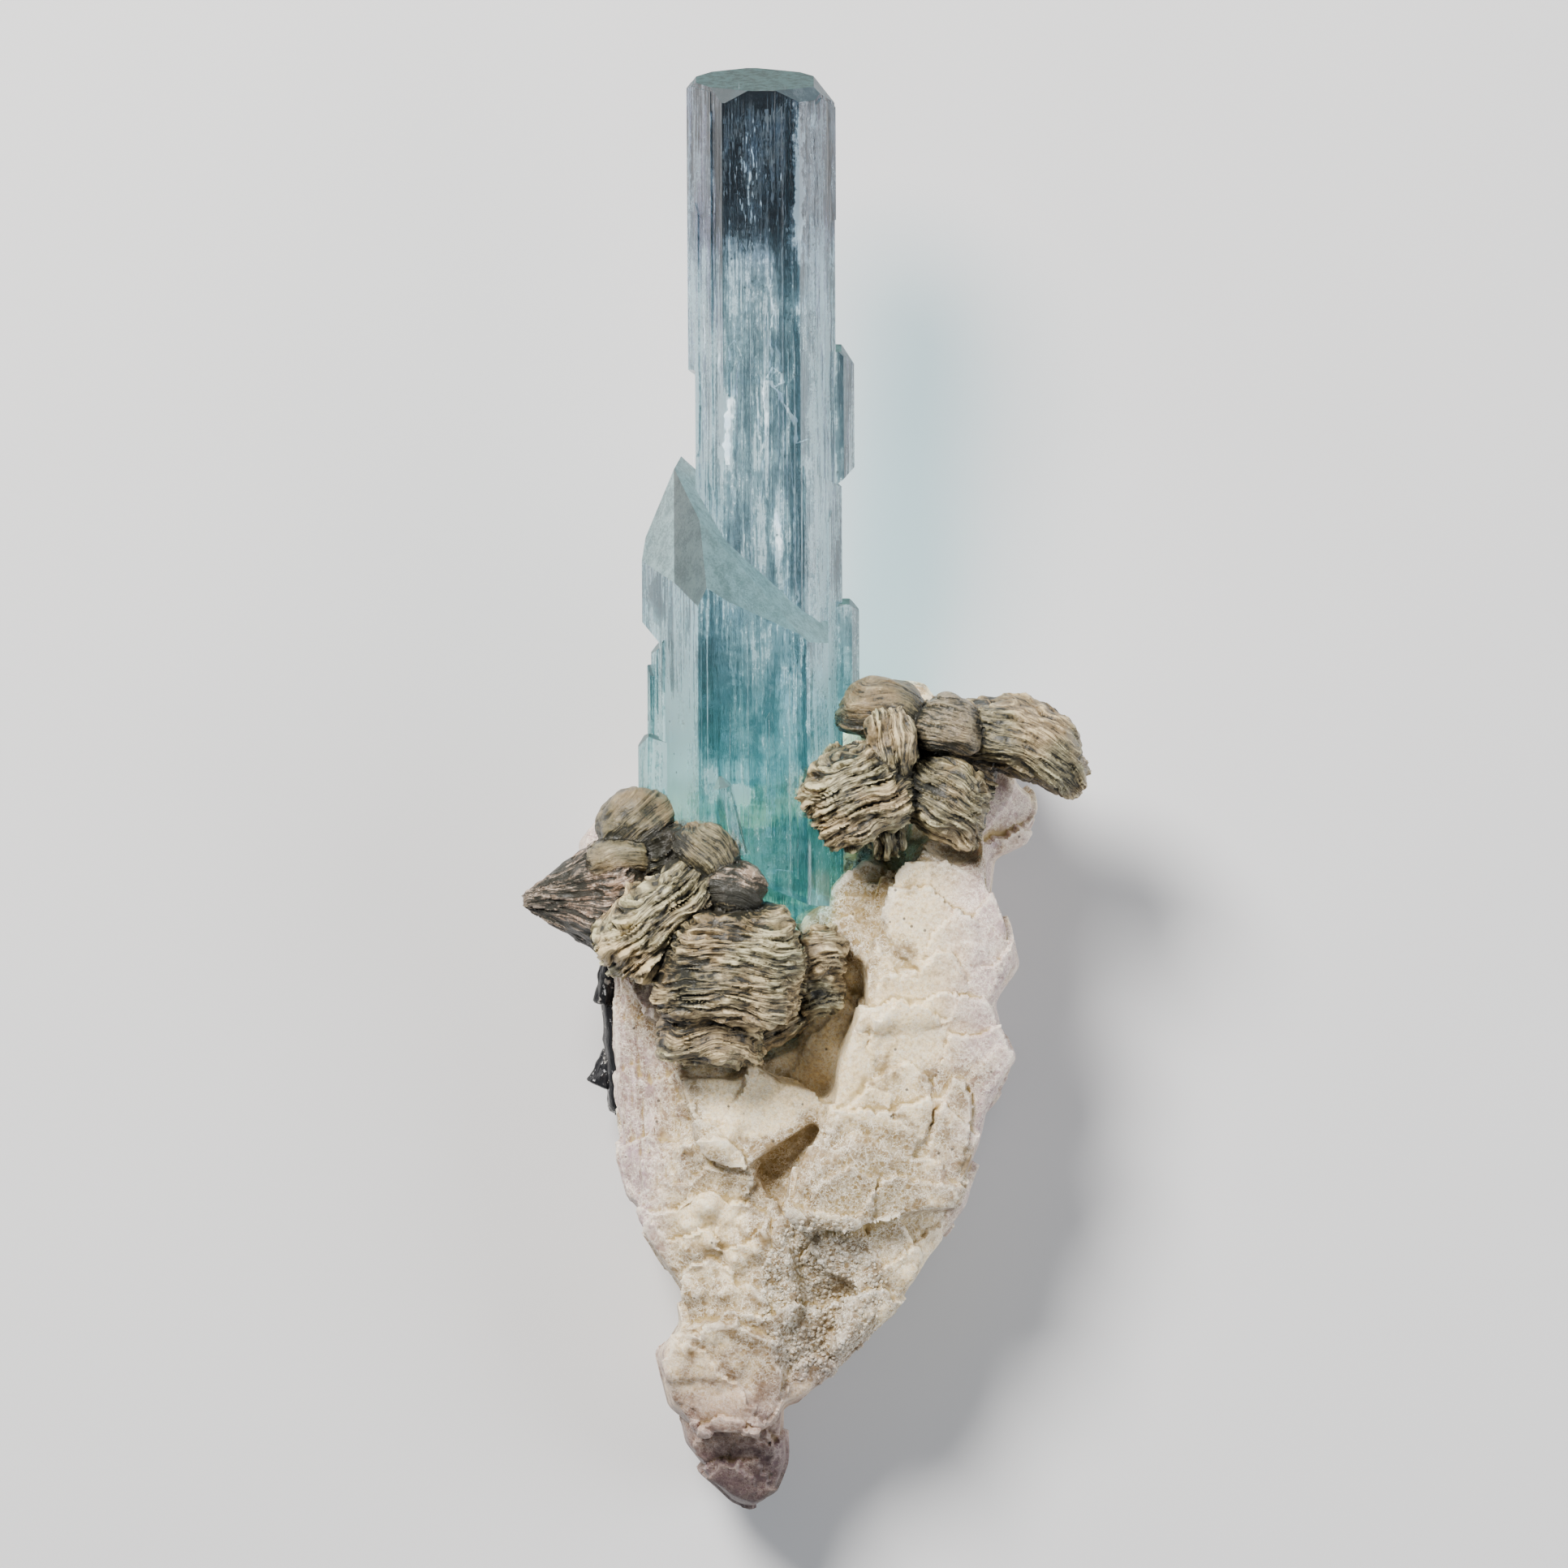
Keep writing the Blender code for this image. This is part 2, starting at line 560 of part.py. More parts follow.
def matrix_blocks():
    """The blocks of albite, roughly from the crystal's foot down to the pointed end."""
    core = [(-19, -16), (-16, -6), (-8, 0), (4.5, 6), (15, 9.5), (20, 2), (19.5, -8), (19, -28),
            (16, -40), (7, -56), (-2.6, -65), (-12, -58), (-15.5, -43), (-18.4, -30)]
    upper_right = [(7, -15), (9.5, -8), (12.5, -5), (18.5, -5), (19.3, -11.5), (21.2, -14.5),
                   (21.8, -18.5), (19.5, -22.9), (19.6, -24), (5.5, -25), (5.5, -18.5)]
    middle_right = [(5.5, -23), (11.5, -21.6), (19.5, -22.6), (20.6, -25.8), (21.9, -28.6),
                    (19.8, -30.5), (16.2, -44), (6.5, -46), (-0.5, -47), (-2.5, -44),
                    (-1.5, -40), (1.8, -34), (3.5, -28)]
    right_flank = [(15.5, -27), (21.9, -28.8), (19, -33), (18.6, -37), (16.4, -43),
                   (14.9, -46.2), (12, -50.5), (9, -54.6), (5, -58), (2, -60), (8, -44)]
    wedge_right = [(-1, -46), (5.5, -44.5), (10, -45), (12.5, -49), (9, -54.6), (2, -51)]
    lower_middle = [(-5.5, -44), (-1.5, -45.5), (5, -50), (8.4, -55.5), (3, -61), (-1.4, -65),
                    (-4, -62), (-5, -55)]
    right_lump = [(1.5, -11.5), (4, -9), (7, -6.6), (8.9, -8.2), (9.6, -11.5), (7, -18),
                  (0.5, -18.8), (-1, -15)]
    recess = [(-6, -28), (-1, -23), (4, -19), (7, -24), (4, -31), (1.5, -37), (-2, -44),
              (-5, -43), (-4, -36)]
    front_wedge = [(-14.5, -28), (-8, -28), (-4, -30.3), (2, -32), (1.6, -34), (-6, -40.2),
                   (-11, -39)]
    left_column = [(-19.8, -18), (-16.5, -17), (-13.4, -23.5), (-12.6, -38), (-15.5, -46),
                   (-19.1, -43.5), (-19.8, -36.5), (-20.2, -29.5)]
    left_shoulder = [(-20.2, -18.2), (-14, -17.5), (-13.4, -22), (-15, -24.6), (-17.6, -23)]
    lower_left = [(-18, -38.5), (-12.5, -36.3), (-9.5, -35.5), (-5, -40.5), (-2.5, -45),
                  (-0.5, -53.5), (-3, -57.5), (-13, -58.5), (-13.4, -52.5), (-17.9, -45.5)]
    foot_block = [(-15.6, -59.5), (-13.5, -57), (-4, -54), (-2.8, -57), (-2.4, -65.5),
                  (-5.5, -68.2), (-11.5, -68.2), (-14.6, -65)]
    foot_point = [(-13.2, -64), (-2.4, -63), (-2.2, -70.5), (-3.2, -74), (-5.8, -75.8),
                  (-8, -74.8), (-10.6, -72.4), (-12.9, -69)]
    right_lobe = [(16, 3), (23.6, -0.6), (24.1, -2.6), (22.8, -5.6), (19.7, -6.9), (16, -8)]
    behind_right = [(4, 6), (10, 11.7), (12.2, 11.2), (13.4, 9.6), (20, 8), (22.5, -0.5),
                    (18.5, -7), (4.5, -8)]
    behind_left = [(-24.0, -6.8), (-23.4, -4.8), (-21.8, -3.0), (-15, -1), (-8, -5), (-8, -15), (-19, -18),
                   (-20.5, -11)]
    return [
        Block(core, -3.0, CORE_TOP, (0.0, 0.03)),
        Block(upper_right, 4.5, 27.5, (-0.15, 0.0)),
        Block(middle_right, 3.5, 26.8, (-0.16, 0.1)),
        Block(right_flank, 1.5, 19.5, (-0.55, 0.05)),
        Block(wedge_right, 4.0, 23.0, (-0.15, 0.25)),
        Block(lower_middle, 0.5, 20.8, (-0.2, 0.2)),
        Block(right_lump, 6.0, 25.2, (0.1, -0.12)),
        Block(recess, 6.0, 21.8, (0.1, 0.05)),
        Block(front_wedge, 6.0, 25.8, (-0.1, -0.12)),
        Block(left_column, 1.5, 21.5, (0.35, 0.05)),
        Block(left_shoulder, 8.0, 25.5, (0.15, -0.3)),
        Block(lower_left, 1.0, 23.5, (0.12, 0.1)),
        Block(foot_block, 0.5, 21.0, (0.1, 0.22)),
        Block(foot_point, 2.0, 15.5, (0.15, 0.3)),
        Block(right_lobe, 4.0, 17.5, (-0.4, 0.1)),
        Block(behind_right, 1.0, 19.0, (-0.1, -0.1)),
        Block(behind_left, 1.5, 17.5, (0.2, 0.0)),
    ]


def rock_pieces():
    """All blocks, with cleavage steps on the ones that are seen."""
    blocks = matrix_blocks()
    pieces = [chunk(block) for block in blocks]
    steps = {1: (4, 4.2), 2: (6, 5.0), 3: (5, 3.0), 4: (2, 3.0), 5: (6, 2.6), 6: (2, 2.8),
             7: (3, 2.6), 8: (2, 3.0), 9: (4, 2.2), 11: (11, 2.6), 12: (5, 3.0), 13: (3, 2.2)}
    for number, (count, size) in steps.items():
        pieces += scales(blocks[number], count, size, seed=number)
    return pieces


def weather(target):
    """Fuse overlapping pieces into one rock, roughen it and keep only the faces it needs."""
    fuse = target.modifiers.new("fuse", "REMESH")
    fuse.mode = "VOXEL"
    fuse.voxel_size = ROCK_VOXEL * MM
    freeze(target)
    bm = bmesh.new()
    bm.from_mesh(target.data)
    for vert in bm.verts:
        broad = noise.noise_vector(vert.co * (0.13 / MM))
        fine = noise.noise_vector(vert.co * (0.38 / MM))
        vert.co += (broad * ROUGH_BROAD + fine * ROUGH_FINE) * MM
    keep_largest(bm)
    bm.to_mesh(target.data)
    bm.free()
    thin = target.modifiers.new("thin", "DECIMATE")
    thin.ratio = ROCK_FACES / (2.0 * len(target.data.polygons))
    freeze(target)


def schorl_cells(grow=0.0):
    """Short black prisms standing side by side down the left rear edge."""
    made = []
    rods = [
        ((-19.9, -26.0, 8.6), 93, 8.2, 1.7),
        ((-20.9, -20.0, 9.6), 80, 2.9, 1.15),
        ((-21.2, -29.6, 8.2), 66, 2.0, 1.15),
        ((-19.6, -32.0, 7.8), 104, 2.4, 1.2),
    ]
    for number, (place, heading, half, radius) in enumerate(rods):
        sides = [(30 + 17 * number + step * 120, radius) for step in range(3)]
        sides += [(90 + 17 * number + step * 120, radius * 0.8) for step in range(3)]
        facets = [(90 + step * 120, 35, radius, 0.5) for step in range(3)]
        bm = crystal_cell((0.0, 0.0), sides, half, -half, facets, grow=grow)
        turn = Matrix.Rotation(math.radians(heading - 90), 4, "Z")
        bmesh.ops.transform(bm, matrix=Matrix.Translation(place) @ turn, verts=bm.verts)
        made.append(bm)
    return made


def make_schorl(material):
    cells = schorl_cells()
    body = object_from(cells[0], "schorl_crystal")
    combine(body, [object_from(bm, "rod") for bm in cells[1:]], "UNION")
    tidy(body)
    body.data.materials.clear()
    body.data.materials.append(material)
    return body


def make_matrix(crystal, material):
    """The albite, cut clear of all that grows on it and flat at the back."""
    body = join(rock_pieces(), "albite_matrix")
    weather(body)
    floor = bmesh.new()
    bmesh.ops.create_cube(floor, size=200.0)
    bmesh.ops.translate(floor, vec=(0.0, 0.0, BACK - 100.0), verts=floor.verts)
    grown = left_books(BOOK_GAP) + right_books(BOOK_GAP) + schorl_cells(GAP) + [floor]
    cutters = [object_from(bm, "grown") for bm in grown] + [crystal]
    combine(body, cutters, "DIFFERENCE", solver="MANIFOLD")
    tidy(body)
    body.data.materials.clear()
    body.data.materials.append(material)
    return body


def main():
    clear_scene()
    aquamarine = principled("aquamarine", (0.36, 0.68, 0.72), 0.08, 0.9, 1.577)
    albite = principled("albite", (0.72, 0.66, 0.55), 0.75)
    mica = principled("mica", (0.33, 0.28, 0.19), 0.42)
    schorl = principled("schorl", (0.012, 0.012, 0.014), 0.2)
    make_crystal(aquamarine)
    cutter = crystal_cutter()
    make_books("mica_books_left", left_books(), cutter, mica)
    make_books("mica_books_right", right_books(), cutter, mica)
    make_schorl(schorl)
    make_matrix(cutter, albite)


main()
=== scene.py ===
"""The looks of a long aquamarine crystal group on white albite between clusters of mica books."""
import math
import random
from collections import namedtuple
from types import SimpleNamespace

import bmesh
import bpy
import numpy
from mathutils import Matrix, Vector, noise


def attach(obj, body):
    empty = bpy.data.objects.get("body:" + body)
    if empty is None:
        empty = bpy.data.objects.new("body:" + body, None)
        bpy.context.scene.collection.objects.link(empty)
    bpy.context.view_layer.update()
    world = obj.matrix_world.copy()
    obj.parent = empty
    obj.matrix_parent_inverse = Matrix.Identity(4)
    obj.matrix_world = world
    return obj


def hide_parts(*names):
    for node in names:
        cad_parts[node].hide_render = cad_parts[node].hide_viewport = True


bl_info = {
    "name": "Aquamarine Specimen",
    "version": (1, 0, 0),
    "blender": (4, 5, 0),
    "location": "View3D > Sidebar > Specimen",
    "description": "Aquamarine crystals, albite, mica books and schorl, with their stage",
    "category": "Object",
}

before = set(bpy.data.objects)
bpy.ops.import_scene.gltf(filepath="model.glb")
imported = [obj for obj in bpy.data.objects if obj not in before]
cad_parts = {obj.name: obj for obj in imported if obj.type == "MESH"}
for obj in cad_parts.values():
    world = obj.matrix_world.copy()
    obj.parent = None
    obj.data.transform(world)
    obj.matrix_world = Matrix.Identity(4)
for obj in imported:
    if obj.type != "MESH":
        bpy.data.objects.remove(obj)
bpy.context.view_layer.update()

MM = 0.001
MOST_TRIANGLES = 190000
JOINED_WITHIN = 0.0002 * MM

# The crystal's own frame: x to the right, y along the crystal, z out of its front face, in mm.
CRYSTAL_FOOT = (-4.5, -11.3, 17.0)
CRYSTAL_RISE = math.radians(12.2)
CRYSTAL_LEAN = math.radians(0.3)
CRYSTAL_LENGTH = 87.2
MAIN_FLAT = 6.8
SECOND_CENTRE = (-2.98, 3.4)
SECOND_FLAT = 5.4
SECOND_TOP = 31.0

# Where growth tubes lie and wisps begin, as spans of x, y and z in that frame.
TUBE_SPANS = ((-9.5, 7.0), (1.0, 85.0), (-3.5, 9.0))
TIP_SPANS = ((-3.7, 2.6), (69.0, 85.0), (5.2, 6.5))
WISP_SPANS = ((-4.5, 5.5), (14.0, 66.0), (3.0, 5.9))

# How many tubes lie near the tip and how much wider they are. The spans of length and width of
# a long and a short tube, and the share of long ones.
TUBES_NEAR_TIP = 600
WIDER_NEAR_TIP = 1.7
LONG_TUBE = ((1.8, 7.0), (0.025, 0.05))
SHORT_TUBE = ((0.15, 1.3), (0.035, 0.09))
LONG_SHARE = 0.3

# Wisps, in mm: how long a step is, how thick and how wide a ribbon is at least, and how far below
# the crystal's front the chosen ones lie.
WANDERING_STEP = 0.35
CHOSEN_STEP = 0.2
HALF_THICK = 0.05
LEAST_REACH = 0.03
BELOW_FRONT = 0.35

# The photograph looks straight down. One of its pixels is this much of the object.
PIXEL = 0.085 * MM
PICTURE = 1932
ORIGIN_PIXEL = (995, 972)
CAMERA_HEIGHT = 2.0
NEAREST_SEEN = 0.05
MIDDLE_HEIGHT = 0.025
SENSOR = 36.0

# A mica book: square is how boxy it is and torn how ragged. Light and rosy change its colour: light is
# partly the book's own tone and partly painted light and shade.
Book = namedtuple(
    "Book", "place heading size tip fan dome droop square torn light rosy",
    defaults=(0.0, 0.0, 0.0, 0.0, 2.5, 1.0, 0.0, 0.0),
)
Rod = namedtuple("Rod", "place heading half radius")
Zone = namedtuple("Zone", "x y half_x half_y bias")
Roof = namedtuple("Roof", "plane tint")
Plate = namedtuple("Plate", "x y half_width half_length heading rise")

LEFT_BOOKS = (
    Book((-7.8, -18.2, 31.3), -5, (7.6, 6.8, 6.6), tip=8, dome=1.0, square=3.0, torn=0.8, light=-0.04),
    Book((-15.1, -13.7, 30.0), 38, (7.8, 5.8, 4.3), tip=6, fan=-0.15, torn=1.3, light=0.16),
    Book((-23.0, -11.4, 22.5), 2, (7.1, 5.6, 5.2), fan=0.8, dome=0.2, torn=0.4, rosy=1.0, light=-0.4),
    Book((-19.6, -6.9, 25.3), 8, (3.9, 4.2, 2.2), tip=4, dome=0.9, torn=0.25, light=-0.04),
    Book((-18.3, -3.4, 24.0), 44, (4.3, 4.4, 3.4), tip=2, dome=0.9, torn=0.2, light=-0.16),
    Book((-13.6, -6.6, 25.8), 30, (4.2, 3.8, 2.8), dome=0.3, torn=0.7, light=-0.5),
    Book((-9.9, -6.4, 30.4), -52, (3.8, 3.9, 2.8), tip=4, dome=1.0, torn=0.35, light=-0.08),
    Book((-7.4, -10.1, 31.4), -12, (3.3, 3.8, 2.7), tip=4, dome=0.8, torn=0.2, rosy=1.0, light=-0.28),
    Book((-10.3, -25.4, 28.3), -3, (5.4, 5.4, 3.6), dome=1.2, torn=0.7),
    Book((1.3, -17.0, 28.4), 12, (2.8, 3.6, 2.7), dome=0.6, torn=0.6),
    Book((0.9, -20.8, 27.0), 16, (3.0, 3.6, 2.7), dome=0.5, torn=0.6),
    Book((-3.4, -25.2, 24.6), 24, (4.0, 3.8, 1.4), torn=0.6, light=-0.25),
)
RIGHT_BOOKS = (
    Book((22.6, 5.2, 24.8), -17, (7.9, 6.2, 4.0), tip=4, dome=0.4, droop=3.4, torn=0.6, light=-0.04),
    Book((4.9, -0.5, 31.4), 22, (5.8, 5.4, 4.8), tip=5, dome=0.3, square=2.8, torn=1.1, light=0.1),
    Book((14.4, -0.6, 28.6), -25, (5.4, 5.4, 3.9), tip=4, dome=0.8, droop=1.2, torn=0.7, light=-0.04),
    Book((8.1, 8.4, 26.6), -14, (4.9, 5.0, 3.2), tip=3, dome=1.2, torn=0.25, light=-0.12),
    Book((8.8, 4.7, 32.4), 97, (3.6, 3.4, 2.4), square=3.5, torn=0.8, light=0.12),
    Book((14.8, 6.7, 29.4), -12, (3.5, 3.8, 3.0), tip=3, dome=0.7, torn=0.35, rosy=0.3, light=-0.05),
    Book((8.2, -4.9, 26.8), 95, (2.3, 3.2, 2.0), torn=1.2, light=-0.1),
    Book((13.6, 3.2, 22.8), -12, (7.0, 4.6, 5.0), dome=0.4, torn=0.6, light=-0.3),
)
SCHORL_RODS = (
    Rod((-19.9, -26.0, 8.6), 93, 8.2, 1.7),
    Rod((-20.9, -20.0, 9.6), 80, 2.9, 1.15),
    Rod((-21.2, -29.6, 8.2), 66, 2.0, 1.15),
    Rod((-19.6, -32.0, 7.8), 104, 2.4, 1.2),
)

# Each zone is a middle, a half width, a half length and a bias, in mm. These are where the mica is painted
# darker with shade in its clefts (below 0), or paler on its ends, partly worn and partly painted highlight
# (above 0).
MICA_LIGHT_AND_SHADE_ZONES = (
    (-7.7, -12.2, 3.6, 2.6, -0.5), (-13.2, -19.4, 2.6, 2.4, -0.35), (-13.6, -24.9, 2.0, 3.2, -0.3),
    (-14.5, -6.0, 2.0, 2.4, -0.6), (4.2, 5.7, 1.8, 2.0, -0.4), (13.8, 4.0, 5.0, 1.0, -0.4),
    (10.2, 1.0, 1.4, 2.4, -0.3), (3.8, -4.9, 3.0, 1.0, -0.3), (-3.4, -17.7, 3.4, 4.8, 0.3),
    (-19.1, -15.1, 2.6, 3.0, 0.25), (1.6, -1.6, 3.2, 3.0, 0.2), (26.6, 4.4, 3.2, 4.0, 0.14),
)

# Where the crystal is clearer and painted darker, a painted shade for the dark seen through it (below 0), or
# full of veils (above 0), in its own frame.
CRYSTAL_ZONES = (
    (-0.3, 81.2, 4.1, 10.4, -0.42), (-1.0, 77.5, 1.5, 5.5, 0.22), (3.9, 78.0, 0.5, 9.0, 0.5),
    (4.1, 54.0, 1.1, 4.6, -0.3), (2.9, 67.5, 1.9, 3.2, -0.12), (2.6, 60.4, 1.3, 3.6, -0.14),
    (-0.9, 66.0, 2.4, 5.0, 0.12), (3.2, 45.8, 1.0, 4.2, -0.26), (3.7, 37.5, 1.0, 3.8, -0.26),
    (-3.7, 51.2, 0.7, 4.4, 0.3), (1.5, 40.2, 0.5, 3.4, 0.25), (-5.2, 24.5, 1.5, 7.2, -0.32),
    (-10.9, 33.0, 0.7, 2.6, -0.35), (4.35, 20.2, 0.3, 11.5, -0.4), (6.2, 36.0, 1.4, 28.0, 0.24),
    (6.2, 66.0, 1.3, 8.0, 0.16), (-6.3, 63.0, 1.3, 8.0, 0.1), (5.2, 3.0, 1.8, 3.4, -0.1),
    (-1.5, 22.0, 3.4, 6.0, -0.12), (-0.5, 57.0, 3.4, 6.5, -0.05), (-9.7, 16.0, 1.9, 4.4, 0.24),
    (-9.7, 18.0, 0.7, 5.4, 0.45), (-8.6, 24.0, 1.6, 6.0, 0.14), (-2.2, 13.6, 1.5, 1.1, 0.36),
    (-4.5, 11.2, 0.6, 1.9, -0.45), (-5.6, 14.6, 0.9, 2.2, 0.26), (3.2, 7.2, 2.0, 5.6, -0.04),
)

# The part of the dark window near the tip that is full of pale dashes.
DASHED = (-1.2, 76.6, 1.5, 6.0, 1.0)

# Where the rock is painted browner and darker, partly stain and partly painted shade (above 0), or painted
# lighter against the shade of its recesses (below 0).
STAIN_AND_SHADE_ZONES = (
    (1.6, -27.0, 3.6, 5.5, -0.95), (5.0, -6.6, 4.2, 2.6, 3.2), (-8.8, -48.0, 4.5, 5.0, -0.3),
    (-1.2, -38.8, 3.0, 4.6, 0.55), (5.0, -20.5, 2.6, 4.0, 0.1), (4.6, -12.6, 3.6, 4.4, 1.1),
    (0.5, -55.0, 5.0, 7.5, 0.6), (-2.6, -45.6, 3.6, 3.0, 0.4), (6.5, -41.0, 5.0, 6.5, 0.62),
    (15.0, -14.0, 3.6, 5.0, -0.5), (11.0, -24.5, 4.4, 4.4, -0.6), (-6.0, -33.4, 4.4, 3.0, -0.85),
)

# Wavy cracks and veils just under the front of the crystal: half width, then x and y in its frame.
CHOSEN_WISPS = (
    (0.12, (1.27, 70.0), (1.1, 67.4), (0.85, 66.1), (1.27, 63.9), (0.85, 61.3), (1.1, 59.2), (0.76, 57.7)),
    (0.14, (0.5, 56.8), (1.1, 57.9), (2.0, 57.2), (2.2, 56.3), (1.36, 55.8), (0.85, 56.3)),
    (0.22, (0.68, 56.5), (1.2, 55.8), (1.95, 55.2), (2.2, 54.2), (2.9, 53.1), (3.4, 52.2), (3.6, 50.9),
     (3.4, 49.8), (4.1, 50.0), (4.7, 50.2)),
    (0.16, (0.25, 56.5), (0.17, 54.4), (0.5, 52.6), (0.34, 50.0), (-0.17, 48.7)),
    (0.1, (-0.43, 54.8), (-0.38, 52.5), (-0.35, 50.0)),
    (0.08, (-3.4, 58.7), (-3.32, 60.3), (-2.8, 60.8), (-2.3, 59.8), (-2.2, 58.9)),
    (0.06, (3.06, 47.8), (3.3, 44.0), (3.3, 40.5), (3.3, 36.1)),
    (0.4, (-3.15, 54.8), (-3.49, 52.6), (-3.66, 50.0), (-3.57, 47.4)),
    (0.34, (1.36, 42.9), (1.6, 40.5), (1.87, 38.3)),
    (0.07, (1.1, 84.6), (1.14, 79.0), (1.19, 74.8)),
    (0.2, (0.65, 85.2), (0.7, 83.8), (0.8, 82.6)),
    (0.06, (5.95, 67.4), (5.9, 61.0), (5.95, 54.4)),
    (0.08, (-5.9, 64.0), (-5.8, 60.0), (-6.1, 55.4), (-6.0, 50.0)),
    (0.07, (-1.2, 46.0), (-1.1, 42.0), (-1.25, 38.0)),
    (0.07, (2.2, 34.6), (2.3, 30.0), (2.2, 24.0)),
    (0.06, (3.2, 28.0), (3.25, 22.0), (3.1, 15.0)),
    (0.1, (0.4, 15.4), (0.7, 12.0), (0.6, 8.0)),
    (0.12, (0.4, 4.3), (1.5, 4.8), (3.2, 4.5)),
)

# The planes y = a + b x + c z of the second prism's slanting end, and the tint of each: partly the facet's
# own colour and partly painted light and shade.
ROOFS = (
    Roof((48.55, -0.471, -1.319), (0.19, 0.28, 0.285)),
    Roof((37.98, -0.933, -0.307), (0.34, 0.45, 0.46)),
    Roof((70.45, 2.37, -1.76), (0.12, 0.115, 0.105)),
    Roof((73.69, 2.72, -1.76), (0.62, 0.7, 0.67)),
    Roof((67.8, 2.39, 0.3), (0.02, 0.09, 0.1)),
)

# Cleavage plates on the front of the rock, in mm: middle, half width and half length, the way
# the free edge looks (degrees to the left of up) and how far that edge stands out.
PLATES = (
    (14.5, -13.9, 5.6, 7.6, 55, 1.0), (5.1, -9.6, 3.0, 2.4, 10, 1.0), (4.7, -13.9, 3.6, 2.6, 5, 0.6),
    (14.0, -20.2, 2.6, 3.2, -5, 1.2), (9.8, -21.5, 3.2, 2.6, 20, 0.8), (10.3, -26.8, 4.0, 4.8, -15, 0.9),
    (13.9, -24.1, 2.4, 3.0, -15, 1.0), (17.4, -26.6, 3.6, 4.6, 0, 0.9), (14.7, -36.4, 2.0, 6.2, -12, 1.1),
    (8.4, -34.7, 3.8, 6.4, -28, 0.9), (4.6, -37.4, 3.0, 6.6, -28, 1.0), (6.9, -41.0, 3.4, 6.8, -25, 0.9),
    (3.0, -44.6, 3.4, 5.4, -30, 1.0), (3.8, -50.0, 4.0, 4.2, 15, 1.2), (8.9, -48.7, 3.0, 4.2, 10, 1.0),
    (11.5, -43.2, 3.6, 4.6, -10, 0.8), (-9.8, -40.2, 4.2, 3.4, -30, 1.0), (-11.0, -45.7, 3.4, 3.2, 0, 1.0),
    (-6.8, -46.6, 2.8, 3.0, 5, 1.0), (-1.7, -46.6, 2.0, 2.8, 0, 0.8), (-10.6, -52.5, 3.0, 3.0, 10, 0.8),
    (-7.2, -54.2, 2.8, 2.4, -5, 0.9), (-8.9, -61.0, 6.0, 5.2, 10, 1.2), (-5.5, -63.2, 3.4, 4.0, 0, 0.8),
    (-14.0, -47.4, 3.0, 3.4, 30, 0.7), (-12.6, -33.8, 1.3, 1.2, 0, 0.9), (19.5, -30.4, 2.2, 3.4, -20, 0.8),
    (16.6, -19.4, 3.4, 3.6, -10, 0.6), (3.0, -25.3, 3.2, 3.4, 10, 1.0), (-9.0, -68.5, 3.0, 2.4, 25, 0.9),
    (-5.8, -70.0, 2.4, 3.0, -15, 0.9), (-8.0, -73.2, 2.6, 2.2, 5, 0.8),
)

# Lumps of rock that close the pit beside the mica and the crystal's foot: middle and half size, in mm.
LUMPS = (
    ((1.2, -14.0, 21.8), (2.8, 1.8, 2.4)),
    ((4.8, -19.3, 21.6), (2.2, 2.2, 2.8)),
    ((1.8, -27.5, 20.6), (3.0, 4.0, 2.6)),
)

# Patterns of noise: how often each repeats per mm, alike every way or by axis, then its detail,
# roughness and distortion.
CRYSTAL_PATTERNS = {
    "patch": ((0.5, 0.1, 0.5),),
    "broken": ((0.5, 0.12, 0.5), 5.0, 0.62),
    "torn": ((0.25, 0.16, 0.25), 5.0, 0.55, 0.8),
    "speck": ((3.0, 1.6, 3.0), 3.0, 0.7),
    "calm": ((0.2, 0.07, 0.2),),
    "dash": ((4.5, 0.7, 4.5), 2.0, 0.6),
    "grain": (4.0, 3.0, 0.7),
    "pit": (1.3, 4.0, 0.65),
    "scratch": ((0.9, 0.45, 0.9), 5.0, 0.7),
}
MICA_PATTERNS = {"patches": (0.14, 3.0), "grit": (2.0, 4.0, 0.7)}
LEAF_PATTERNS = {"fine": ((0.5, 0.5, 5.6), 3.0, 0.65), "bands": ((0.2, 0.2, 2.4), 2.0)}
ALBITE_PATTERNS = {"broad": (0.11, 3.0), "patchy": (0.45, 4.0, 0.65), "fine": (2.6, 4.0, 0.7)}


# Settings that a user would change

def colour_property(name, description, default):
    return bpy.props.FloatVectorProperty(
        name=name, description=description, default=default, size=3, min=0.0, max=1.0, subtype="COLOR"
    )


def length_property(name, description, millimetres):
    return bpy.props.FloatProperty(
        name=name, description=description, default=millimetres * MM, min=0.0, precision=5,
        subtype="DISTANCE", unit="LENGTH",
    )


def power_property(name, description, watts):
    return bpy.props.FloatProperty(
        name=name, description=description, default=watts, min=0.0, subtype="POWER", unit="POWER"
    )


